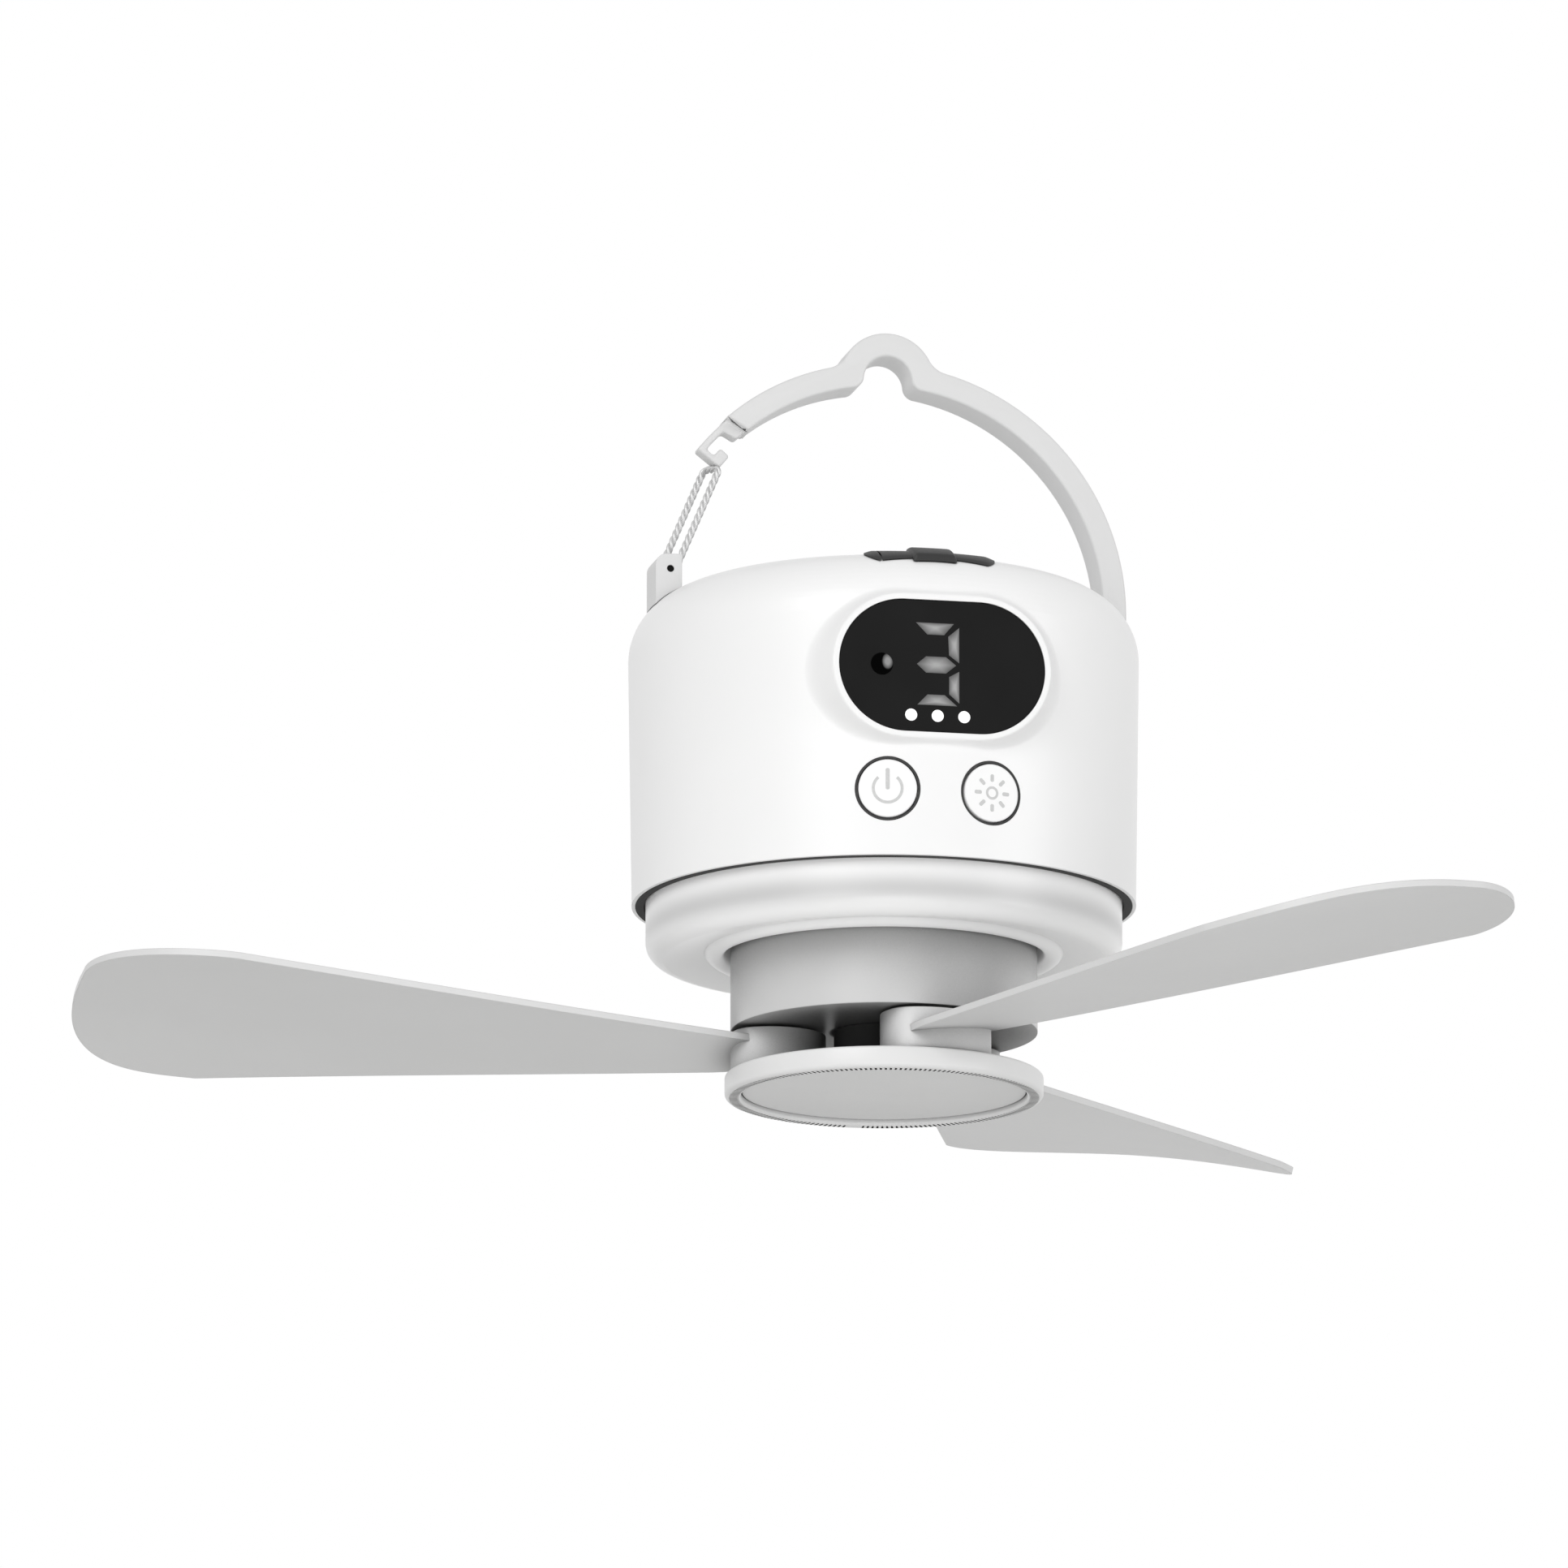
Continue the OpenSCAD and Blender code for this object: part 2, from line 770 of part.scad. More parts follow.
// Dust ring around each button, pressed into the housing
module button_rings() {
    color([0.2, 0.2, 0.2]) intersection() {
        for (side = [-1, 1]) at_button(side) translate([0, 0, -8])
            ring(button_d / 2 + button_gap - 0.02, button_d / 2 + seal_gap, 10);
        difference() {
            body_form(-0.2, body_bottom);
            body_form(-wall, body_bottom - 1);
        }
    }
}

module button_switches() {
    tip = button_low - flange_t - stem_l - button_travel - clear;
    color("dimgray") for (side = [-1, 1]) difference() {
        at_button(side) {
            translate([0, 0, tip - 1]) cylinder(r = 1.75, h = 1);
            translate([-3, -3, tip - 8]) cube([6, 6, 7.2]);
        }
        translate([-30, board_y - board_t, button_z - 5]) cube([60, 20, 10]);
    }
}

// ---------- ports ----------

// Layer that follows the body's top at a height above it
module shoulder_layer(low, high) {
    difference() {
        body_form(high, shoulder_z - 1);
        body_form(low, shoulder_z - 2);
    }
}

// A part of the cover's plan, between two places along it
module cover_plan(from, to) {
    on_shoulder() translate([0, 0, -4]) linear_extrude(8) intersection() {
        rotate(90) stadium(cover_l, cover_w);
        square_at(-cover_w, from, 2 * cover_w, to - from);
    }
}

module port_cover() {
    color([0.12, 0.12, 0.12]) {
        intersection() {
            shoulder_layer(cover_gap, cover_gap + cover_t);
            cover_plan(fold_y + fold_gap / 2, cover_l);
        }
        intersection() {
            shoulder_layer(cover_gap + eps, cover_gap + cover_t + tab_rise);
            on_shoulder() translate([-3.5, -tab_w / 2, -4]) cube([tab_reach + 3.5, tab_w, 8]);
        }
    }
}

// Fixed end of the cover, with a stud through the housing
module cover_anchor() {
    color([0.12, 0.12, 0.12]) {
        intersection() {
            shoulder_layer(0.05, cover_gap + cover_t);
            cover_plan(-cover_l, fold_y - fold_gap / 2);
        }
        on_shoulder() translate([0, anchor_y, -wall - anchor_drop - 1]) {
            cylinder(r = anchor_r, h = wall + anchor_drop + 1 + cover_gap + cover_t / 2);
            cylinder(r = anchor_r + 0.6, h = 1);
        }
    }
}

module port_board() {
    color("darkgreen") difference() {
        on_shoulder() translate([-6, -port_board_l / 2, -wall - port_depth - board_t])
            cube([12, port_board_l, board_t]);
        screw_ways();
    }
}

module usb_c_socket() {
    color("silver") on_shoulder() translate([0, usb_c_y, -wall - port_depth]) rotate([0, 0, 90]) {
        difference() {
            linear_extrude(port_depth - 0.1) stadium(usb_c[0], usb_c[1]);
            translate([0, 0, 1]) linear_extrude(port_depth) stadium(usb_c[0] - 0.6, usb_c[1] - 0.6);
        }
        translate([-3.3, -0.35, 0.5]) cube([6.6, 0.7, port_depth - 1.4]);
    }
}

module usb_a_socket() {
    color("silver") on_shoulder() translate([-usb_a[1] / 2, usb_a_y - usb_a[0] / 2, -wall - port_depth]) {
        difference() {
            cube([usb_a[1], usb_a[0], port_depth - 0.1]);
            translate([0.35, 0.35, 1]) cube([usb_a[1] - 0.7, usb_a[0] - 0.7, port_depth]);
        }
        translate([1.2, 1.2, 0.5]) cube([1.4, usb_a[0] - 2.4, port_depth - 1.4]);
    }
}

// ---------- battery and main board ----------

module battery_cells() {
    color("steelblue") for (i = [0:cell_count - 1])
        translate([0, (i - (cell_count - 1) / 2) * cell_pitch, cell_z]) rotate([0, 90, 0]) {
            cylinder(d = cell_d, h = cell_l - 1.5, center = true);
            cylinder(d = cell_d / 3, h = cell_l, center = true);
        }
}

module battery_tray() {
    color([0.2, 0.2, 0.2]) {
        difference() {
            intersection() {
                translate([-tray_x, -tray_y, plate_top])
                    cube([2 * tray_x, 2 * tray_y, tray_floor + cell_d / 2]);
                translate([0, 0, plate_top - 1]) cylinder(r = plate_r - 1, h = 20);
            }
            for (i = [0:cell_count - 1]) translate([0, (i - (cell_count - 1) / 2) * cell_pitch, cell_z])
                rotate([0, 90, 0]) cylinder(d = cell_d + 0.2, h = cell_l + 0.6, center = true);
        }
        for (sx = [-1, 1]) for (sy = [-1, 1])
            translate([sx * (tray_x - 1.7), sy * (main_board_w / 2 - 3), plate_top])
                cylinder(r = 1.7, h = main_board_z - plate_top);
    }
}

module main_board() {
    color("darkgreen") {
        translate([-tray_x, -main_board_w / 2, main_board_z])
            cube([2 * tray_x, main_board_w, board_t]);
        translate([-20, -14, main_board_z + board_t - eps]) cube([12, 12, 6]);
        translate([4, -18, main_board_z + board_t - eps]) cube([9, 9, 1.4]);
        translate([20, 8, main_board_z + board_t - eps]) cylinder(r = 4, h = 10);
        translate([20, -8, main_board_z + board_t - eps]) cylinder(r = 4, h = 10);
        translate([-24, 12, main_board_z + board_t - eps]) cube([14, 8, 5]);
    }
}

// ---------- light ring ----------

collar_t = 1.6;
led_board_w = 5.6;
led_board_mid = (hub_r + hub_gap + collar_t + diffuser_r - diffuser_wall) / 2 - 1.6;
led_ring = led_board_mid + 0.4;

module led_board() {
    color("whitesmoke") translate([0, 0, plate_under - 1.6])
        ring(led_board_mid + led_board_w / 2, led_board_mid - led_board_w / 2, 1.6);
}

module light_diodes() {
    color("lightyellow") translate([0, 0, plate_under - 1.6 - 0.7]) around(led_count, led_ring)
        translate([-1.4, -1.75, 0]) cube([2.8, 3.5, 0.7]);
}

// Half outline of the diffuser: outer wall, dished underside and inner collar
module diffuser_outline() {
    r = diffuser_r;
    b = diffuser_bottom;
    w = diffuser_wall;
    bore = hub_r + hub_gap;
    collar_mid = bore + 2.4;
    difference() {
        union() {
            square_at(r - w, b + diffuser_round, w,
                plate_under + tongue_h - b - diffuser_round);
            intersection() {
                translate([r - diffuser_round, b + diffuser_round]) circle(diffuser_round);
                square_at(r - diffuser_round, b, diffuser_round, diffuser_round + eps);
            }
            polygon([[r - diffuser_round, b], [r - diffuser_round, b + w],
                [collar_mid, b + w + 2.2], [collar_mid, b + 2.2]]);
            translate([collar_mid, b + 2.4]) circle(2.4);
            square_at(bore, b + 2.4, collar_t, plate_under - b - 2.4);
        }
        intersection() {
            translate([r - diffuser_round, b + diffuser_round]) circle(diffuser_round - w);
            square_at(r - diffuser_round - eps, b, diffuser_round, diffuser_round + 2 * eps);
        }
    }
}

module light_diffuser() {
    color("snow") rotate_extrude() diffuser_outline();
}

// ---------- motor ----------

module motor_mount() {
    color("silver") difference() {
        union() {
            translate([0, 0, plate_under - mount_t]) cylinder(r = mount_r, h = mount_t);
            translate([0, 0, tube_bottom])
                cylinder(r = tube_r, h = plate_under - mount_t - tube_bottom + eps);
        }
        translate([0, 0, tube_bottom - 1]) cylinder(r = bearing_r - 1, h = 60);
        translate([0, 0, tube_bottom - 1]) cylinder(r = bearing_r + 0.01, h = bearing_w + 1);
        translate([0, 0, plate_under - mount_t - bearing_w]) cylinder(r = bearing_r + 0.01, h = 20);
        around(3, 13, 30) translate([0, 0, plate_under - 5]) cylinder(r = 1.35, h = 10);
    }
}

module motor_screws() {
    color("silver") around(3, 13, 30) translate([0, 0, plate_under - mount_t]) screw_up(1.05, 4, 2.1, 1.2);
}

module stator_core() {
    color("gray") translate([0, 0, stator_z]) difference() {
        union() {
            ring(tube_r + 4.6, tube_r + 0.02, stator_h);
            around(stator_teeth, 0) translate([tube_r + 2, -1.2, 0])
                cube([stator_r - tube_r - 3, 2.4, stator_h]);
            intersection() {
                ring(stator_r, stator_r - 2.2, stator_h);
                around(stator_teeth, 0) translate([tube_r, -5, 0]) cube([stator_r, 10, stator_h]);
            }
        }
    }
}

// One coil around each tooth
module stator_windings() {
    inner = tube_r + 6;
    outer = stator_r - 3;
    color("chocolate") translate([0, 0, stator_z]) around(stator_teeth, 0) difference() {
        translate([inner, -2.6, -1.6]) cube([outer - inner, 5.2, stator_h + 3.2]);
        translate([inner - 1, -1.25, -0.05]) cube([outer - inner + 2, 2.5, stator_h + 0.1]);
    }
}

module shaft_bearings() {
    color("lightgray") for (z = [tube_bottom, plate_under - mount_t - bearing_w])
        translate([0, 0, z]) ring(bearing_r, shaft_r + 0.02, bearing_w);
}

// ---------- rotor ----------

module pin_places() {
    for (turn = blade_turn) rotate([0, 0, pivot_angle + turn]) translate([pivot_r, 0, 0]) children();
}

module rotor_hub() {
    floor_top = hub_bottom + hub_floor;
    color("silver") difference() {
        union() {
            translate([0, 0, hub_bottom]) cylinder(r = hub_r, h = hub_top - hub_bottom);
            translate([0, 0, slot_bottom]) cylinder(r = pillar_r, h = slot_h + eps);
        }
        translate([0, 0, floor_top]) difference() {
            cylinder(r = hub_r - hub_wall, h = 60);
            translate([0, 0, -eps]) cylinder(r = 4, h = tube_bottom - floor_top - 0.1 + eps);
        }
        translate([0, 0, hub_bottom - 4]) cylinder(r = shaft_r + 0.01, h = 60);
        pin_places() translate([0, 0, hub_bottom - eps]) cylinder(r = pin_r + 0.02, h = hub_floor - 0.6);
        around(3, cap_screw_ring) translate([0, 0, slot_bottom - eps])
            cylinder(r = cap_screw_r, h = 7);
    }
}

module magnet_ring() {
    color([0.3, 0.3, 0.33]) translate([0, 0, stator_z - 1])
        ring(hub_r - hub_wall - 0.02, stator_r + air_gap, stator_h + 2);
}

module rotor_shaft() {
    color("lightgray") translate([0, 0, hub_bottom - 3.9])
        cylinder(r = shaft_r, h = plate_under - mount_t - hub_bottom + 3.9);
}

module blade_pins() {
    color("lightgray") pin_places() translate([0, 0, slot_bottom - pin_seat])
        cylinder(r = pin_r, h = slot_h + pin_seat + hub_floor - 0.8);
}

module blade_washers() {
    color("white") pin_places() translate([0, 0, hub_bottom - washer_t])
        ring(washer_r, pin_r + 0.02, washer_t);
}

module rotor_cap() {
    edge = 1.8;
    color("whitesmoke") difference() {
        rotate_extrude() {
            square_at(0, cap_bottom, cap_r - edge, cap_h);
            square_at(0, cap_bottom + edge, cap_r, cap_h - 2 * edge);
            for (z = [cap_bottom + edge, slot_bottom - edge])
                translate([cap_r - edge, z]) circle(edge);
        }
        translate([0, 0, cap_bottom - eps]) cylinder(r = disc_r + seat_gap, h = disc_recess + disc_t + eps);
        pin_places() translate([0, 0, slot_bottom - pin_seat - 0.1])
            cylinder(r = pin_r + 0.02, h = pin_seat + 1);
        around(3, cap_screw_ring) translate([0, 0, cap_bottom]) {
            cylinder(r = cap_screw_r + 0.2, h = 10);
            cylinder(r = 2.4, h = disc_recess + disc_t + head_sink);
        }
    }
}

module cap_screws() {
    color("silver") around(3, cap_screw_ring)
        translate([0, 0, cap_bottom + disc_recess + disc_t + head_sink])
            screw_up(cap_screw_r - thread, 8, 2.3, head_sink - 0.1);
}

module cap_disc() {
    color("lightgray") translate([0, 0, cap_bottom + disc_recess]) cylinder(r = disc_r, h = disc_t);
}

// ---------- blades ----------

side_steps = 10;
tip_steps = 14;
blade_steps = side_steps + tip_steps;
cross_steps = 8;
lead_end = 0.812 * blade_l;   // where the leading side turns into the tip
trail_end = 0.789 * blade_l;  // where the trailing side turns into the tip
lead_power = 1.9;
trail_power = 3.3;
tip_w = 8.2;
pitch_w = 3.7;
thin_edge = 0.6;

// A place along the blade: even along the sides, closer together at the tip
function station(i) = i <= side_steps
    ? root_start + (trail_end - root_start) * i / side_steps
    : trail_end + (blade_l - trail_end) * 0.9995 * sin(90 * (i - side_steps) / tip_steps);
// Width from the tip's middle line to one side: straight, then rounded off
function side_at(u, root_w, wide, end, power) = u <= end
    ? root_w + (wide - root_w) * u / end
    : wide * pow(1 - pow((u - end) / (blade_l - end), power), 1 / power);
function lead_at(u) = tip_w + side_at(u, root_lead - tip_w, blade_lead - tip_w, lead_end, lead_power);
function trail_at(u) = min(root_trail + 0.45 * (u - root_start),
    side_at(u, root_trail + 0.4 + tip_w, blade_trail + tip_w, trail_end, trail_power) - tip_w);
// Height of the blade's middle surface: pitch, upward sweep and camber
function blade_z(u, w) = (w - pitch_w) * sin(blade_pitch)
    + blade_rise * (0.41 * u / blade_l + 0.59 * pow(u / blade_l, 2))
    - camber * u / blade_l * pow((w - pitch_w) / 27, 2);

function lerp(a, b, t) = a + (b - a) * t;
function blade_point(i, j, side) =
    let (u = station(i), t = j / cross_steps, w = lerp(-trail_at(u), lead_at(u), t))
    [u, w, blade_z(u, w) + side * blade_t / 2 * (1 - thin_edge * pow(2 * t - 1, 4))];

// The blade's thin shell, lofted between its upper and its lower surface
module blade_plate() {
    n = cross_steps + 1;
    m = blade_steps + 1;
    top = [for (i = [0:blade_steps]) for (j = [0:cross_steps]) blade_point(i, j, 1)];
    under = [for (i = [0:blade_steps]) for (j = [0:cross_steps]) blade_point(i, j, -1)];
    o = n * m;
    faces = concat(
        [for (i = [0:blade_steps - 1]) for (j = [0:cross_steps - 1]) each
            [[i * n + j, i * n + j + 1, (i + 1) * n + j],
             [i * n + j + 1, (i + 1) * n + j + 1, (i + 1) * n + j]]],
        [for (i = [0:blade_steps - 1]) for (j = [0:cross_steps - 1]) each
            [[o + i * n + j, o + (i + 1) * n + j, o + i * n + j + 1],
             [o + i * n + j + 1, o + (i + 1) * n + j, o + (i + 1) * n + j + 1]]],
        [for (i = [0:blade_steps - 1]) each
            [[i * n, (i + 1) * n, o + i * n], [(i + 1) * n, o + (i + 1) * n, o + i * n]]],
        [for (i = [0:blade_steps - 1]) let (a = i * n + cross_steps, b = (i + 1) * n + cross_steps) each
            [[a, o + a, b], [b, o + a, o + b]]],
        [for (j = [0:cross_steps - 1]) each
            [[j, o + j, j + 1], [j + 1, o + j, o + j + 1]]],
        [for (j = [0:cross_steps - 1]) let (a = blade_steps * n + j) each
            [[a, a + 1, o + a], [a + 1, o + a + 1, o + a]]]);
    polyhedron(concat(top, under), faces, convexity = 4);
}

// A blade on its pin: the plate, and a round root block bored for the pin.
// The block's outer side is flush with the hub when the blade is open.
module blade(k) {
    rotate([0, 0, pivot_angle + blade_turn[k]]) difference() {
        union() {
            translate([pivot_r, 0, plate_z])
                rotate([0, 0, open_angle - pivot_angle + blade_swing[k]]) blade_plate();
            intersection() {
                translate([pivot_r, 0, root_bottom]) cylinder(r = root_r, h = root_top - root_bottom);
                translate([0, 0, root_bottom]) cylinder(r = hub_r, h = root_top - root_bottom);
            }
        }
        translate([pivot_r, 0, root_bottom - 5]) cylinder(r = pin_r + fit, h = slot_h + 10);
    }
}

module left_blade() {
    color("lightgray") blade(0);
}

module front_blade() {
    color("lightgray") blade(1);
}

module back_blade() {
    color("lightgray") blade(2);
}

housing_shell();
base_plate();
housing_screws();
handle();
gate_lug();
handle_screws();
gate_pin();
wire_gate();
display_window();
digit_module();
status_leds();
infrared_receiver();
control_board();
board_screws();
power_button();
light_button();
button_rings();
button_switches();
port_cover();
cover_anchor();
port_board();
usb_c_socket();
usb_a_socket();
main_board();
battery_tray();
battery_cells();
led_board();
light_diodes();
light_diffuser();
motor_mount();
motor_screws();
stator_core();
stator_windings();
shaft_bearings();
rotor_hub();
magnet_ring();
rotor_shaft();
blade_pins();
blade_washers();
rotor_cap();
cap_screws();
cap_disc();
left_blade();
front_blade();
back_blade();
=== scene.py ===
import math

import bpy
from mathutils import Matrix, Vector


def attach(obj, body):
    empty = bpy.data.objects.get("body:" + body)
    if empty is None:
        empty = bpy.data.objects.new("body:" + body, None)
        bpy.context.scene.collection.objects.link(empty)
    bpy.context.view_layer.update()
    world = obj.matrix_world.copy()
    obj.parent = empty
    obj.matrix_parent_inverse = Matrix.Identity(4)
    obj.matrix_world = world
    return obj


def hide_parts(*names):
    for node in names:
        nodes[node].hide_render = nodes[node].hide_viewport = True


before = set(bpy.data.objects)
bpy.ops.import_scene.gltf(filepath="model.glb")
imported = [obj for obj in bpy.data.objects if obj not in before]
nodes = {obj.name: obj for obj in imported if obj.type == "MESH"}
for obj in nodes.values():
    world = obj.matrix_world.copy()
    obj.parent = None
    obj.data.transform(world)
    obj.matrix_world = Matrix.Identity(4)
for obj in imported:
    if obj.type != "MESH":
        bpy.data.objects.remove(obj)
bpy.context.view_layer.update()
scene = bpy.context.scene
MM = 0.001

# ---------- camera ----------
# A long lens from about 3.4 m away, a little to the left of the fan and
# below it, so that its underside shows.
aim = Vector((-0.0218, 0.0048, -0.0920))
look = Vector((0.2114, 0.9535, 0.2147)).normalized()
camera_far, focal_length = 3.390, 347.4
bpy.ops.object.select_all(action="DESELECT")
bpy.ops.object.camera_add(location=aim - look * camera_far,
                          rotation=look.to_track_quat("-Z", "Y").to_euler())
camera = bpy.context.object
camera.name = "camera"
camera.data.lens = focal_length
camera.data.sensor_width = 36
camera.data.sensor_fit = "HORIZONTAL"
camera.data.clip_end = 50
scene.camera = camera

# ---------- studio ----------
# A white surround, three large soft lamps and a pale floor under the hanging
# fan. Rays that look at the surround see plain white.
scene.view_settings.view_transform = "Standard"
surround_light = 0.57
lamps_aim = Vector((0, 0, -0.1))
floor_size, floor_z = 8, -1.0


def add(tree, kind, values={}, links={}):
    """Adds one node with its settings and joins its inputs to other nodes' outputs."""
    node = tree.nodes.new("ShaderNode" + kind)
    for key, value in values.items():
        if isinstance(key, int) or key in node.inputs:
            node.inputs[key].default_value = value
        else:
            setattr(node, key, value)
    for key, source in links.items():
        tree.links.new(source, node.inputs[key])
    return node


def tone(code):
    """An sRGB hex value as the linear colour that a shader takes."""
    parts = [int(code[i:i + 2], 16) / 255 for i in (1, 3, 5)]
    return [c / 12.92 if c <= 0.04045 else ((c + 0.055) / 1.055) ** 2.4 for c in parts] + [1]


surround = bpy.data.worlds.new("studio_surround")
surround.use_nodes = True
tree = surround.node_tree
tree.nodes.clear()
ray = add(tree, "LightPath")
seen = add(tree, "Math", {"operation": "MAXIMUM"},
           {0: ray.outputs["Is Camera Ray"], 1: ray.outputs["Is Glossy Ray"]})
seen = add(tree, "Math", {"operation": "MAXIMUM"},
           {0: seen.outputs[0], 1: ray.outputs["Is Transmission Ray"]})
strength = add(tree, "MapRange", {"To Min": surround_light, "To Max": 1.0},
               {"Value": seen.outputs[0]})
sky = add(tree, "Background", {"Color": tone("#ffffff")}, {"Strength": strength.outputs[0]})
add(tree, "OutputWorld", {}, {"Surface": sky.outputs[0]})
scene.world = surround

for name, place, size, power in (
        ("lamp_left", (-1.9, -2.4, 1.3), 1.6, 33),
        ("lamp_right", (2.3, -1.8, 0.2), 1.4, 15),
        ("lamp_below", (-0.3, -1.6, -0.85), 1.2, 9)):
    way = lamps_aim - Vector(place)
    bpy.ops.object.light_add(type="AREA", location=place,
                             rotation=way.to_track_quat("-Z", "Y").to_euler())
    lamp = bpy.context.object
    lamp.name = name
    lamp.data.size = size
    lamp.data.energy = power

bpy.ops.object.select_all(action="DESELECT")
bpy.ops.mesh.primitive_plane_add(size=floor_size, location=(0, 0, floor_z))
floor = bpy.context.object
floor.name = "floor"


def blank(name, settings):
    """A new material with its shader and output."""
    material = bpy.data.materials.new(name)
    material.use_nodes = True
    tree = material.node_tree
    tree.nodes.clear()
    shader = add(tree, "BsdfPrincipled", settings)
    add(tree, "OutputMaterial", {}, {"Surface": shader.outputs[0]})
    return material, tree, shader


paint, tree, shader = blank("painted_studio_floor", {"Roughness": 0.8})
where = add(tree, "TexCoord").outputs["Object"]
patch = add(tree, "TexNoise", {"Scale": 3.0, "Detail": 3.0}, {"Vector": where})
mix = add(tree, "Mix", {"data_type": "RGBA", 6: tone("#e9e9e8"), 7: tone("#efefee")},
          {0: patch.outputs[0]})
tree.links.new(mix.outputs[2], shader.inputs["Base Color"])
floor.data.materials.append(paint)

# ---------- housing ----------
# The white body: one injection-moulded ABS shell with a rounded shoulder and
# a raised pad that holds the display window. It is open at the bottom.
body_r, body_top, shoulder_z, body_bottom = 57.3, -49.5, -64.5, -120.2
shoulder_r, rim_r, wall = 15.0, 56.4, 2.2
window_w, window_h, window_y, window_z = 46.4, 29.6, -58.2, -77.9
lip, sink, window_t, seat_gap, seat_ledge = 1.5, 0.3, 1.5, 0.3, 3
button_r, button_gap, button_z = 6.45, 0.8, -105.4
button_turn = math.asin(23.8 / 114.6)
pad_slope, pad_blend, lip_blend = 2.6, 2.4, 0.6
pad_back, pad_side, pad_rows, bent_rows = -20, 33, (-100, -54), (-104, -51)
# The port cover's place on the front of the shoulder, tilted by 13 degrees:
# across, along and outwards.
port_y, port_z, tilt_cos, tilt_sin = -45.674, -49.884, 0.97437, 0.22495
port_place = Matrix(((0, 1, 0, 0), (-tilt_cos, 0, -tilt_sin, port_y),
                     (-tilt_sin, 0, tilt_cos, port_z), (0, 0, 0, 1)))


def begin():
    """Leaves edit mode and deselects everything."""
    if bpy.context.object and bpy.context.object.mode != "OBJECT":
        bpy.ops.object.mode_set(mode="OBJECT")
    bpy.ops.object.select_all(action="DESELECT")


def settle(name):
    """Names the active piece and puts its place into its mesh."""
    if bpy.context.object.mode != "OBJECT":
        bpy.ops.object.mode_set(mode="OBJECT")
    piece = bpy.context.object
    piece.name = name
    bpy.ops.object.transform_apply(location=True, rotation=True, scale=True)
    return piece


def pick(piece, kind, test):
    """Selects in edit mode the piece's corners, edges or faces that pass a test, in mm."""
    bpy.ops.object.mode_set(mode="EDIT")
    bpy.ops.mesh.select_mode(type={"corners": "VERT", "edges": "EDGE", "faces": "FACE"}[kind])
    bpy.ops.mesh.select_all(action="DESELECT")
    bpy.ops.object.mode_set(mode="OBJECT")
    mesh = piece.data
    spot = [v.co / MM for v in mesh.vertices]
    if kind == "corners":
        for v in mesh.vertices:
            v.select = test(spot[v.index])
    elif kind == "edges":
        for e in mesh.edges:
            e.select = test(spot[e.vertices[0]], spot[e.vertices[1]])
    else:
        for f in mesh.polygons:
            f.select = test(f.center / MM, f.normal)
    bpy.ops.object.mode_set(mode="EDIT")


def shrink(share):
    """Scales what is selected across, about the fan's axis."""
    bpy.ops.transform.resize(value=(share, share, 1), center_override=(0, 0, 0))


def smooth(piece, angle):
    """Shades a piece smooth, but for edges sharper than an angle in degrees."""
    begin()
    bpy.context.view_layer.objects.active = piece
    piece.select_set(True)
    bpy.ops.object.shade_smooth_by_angle(angle=math.radians(angle))


def body_block(name, inset, low, sides, steps):
    """The body's outer form, smaller by an inset, from its top down to a level."""
    begin()
    high = body_top - inset
    bpy.ops.mesh.primitive_cylinder_add(vertices=sides, radius=(body_r - inset) * MM,
                                        depth=(high - low) * MM,
                                        location=(0, 0, (high + low) / 2 * MM))
    block = settle(name)
    pick(block, "edges", lambda a, b: min(a.z, b.z) > high - 0.01)
    bpy.ops.mesh.bevel(offset=(shoulder_r - inset) * MM, segments=steps, affect="EDGES")
    draft = (body_r - rim_r) * (shoulder_z - low) / (shoulder_z - body_bottom)
    pick(block, "corners", lambda p: p.z < low + 0.01)
    shrink(1 - draft / (body_r - inset))
    bpy.ops.object.mode_set(mode="OBJECT")
    return block


def stadium_block(name, width, height, depth):
    """A block with half-round ends, lying across X and facing -Y, around the origin."""
    begin()
    bpy.ops.mesh.primitive_cube_add(size=1, scale=(width * MM, depth * MM, height * MM))
    block = settle(name)
    pick(block, "edges", lambda a, b: abs(a.y - b.y) > depth / 2)
    bpy.ops.mesh.bevel(offset=height / 2 * MM, segments=32, affect="EDGES")
    bpy.ops.mesh.select_all(action="SELECT")
    bpy.ops.mesh.remove_doubles(threshold=0.001 * MM)
    bpy.ops.object.mode_set(mode="OBJECT")
    return block


def move_mesh(piece, matrix):
    """Moves the piece's mesh, with the matrix in millimetres."""
    step = matrix.copy()
    step.translation = step.translation * MM
    piece.data.transform(step)
    return piece


def cut(piece, cutters):
    """Cuts the piece with other meshes, which are then deleted."""
    group = bpy.data.collections.new("cutters")
    for cutter in cutters:
        group.objects.link(cutter)
    begin()
    bpy.context.view_layer.objects.active = piece
    piece.select_set(True)
    step = piece.modifiers.new("cut", "BOOLEAN")
    step.operation = "DIFFERENCE"
    step.operand_type = "COLLECTION"
    step.collection = group
    step.solver = "EXACT"
    bpy.ops.object.modifier_apply(modifier="cut")
    begin()
    for cutter in cutters:
        cutter.select_set(True)
    bpy.ops.object.delete()
    bpy.data.collections.remove(group)


def soften(low, high, width):
    """The smaller of two heights, with a hollow blend where they meet."""
    share = max(0.0, min(1.0, 0.5 + 0.5 * (high - low) / width))
    return high * (1 - share) + low * share - width * share * (1 - share)


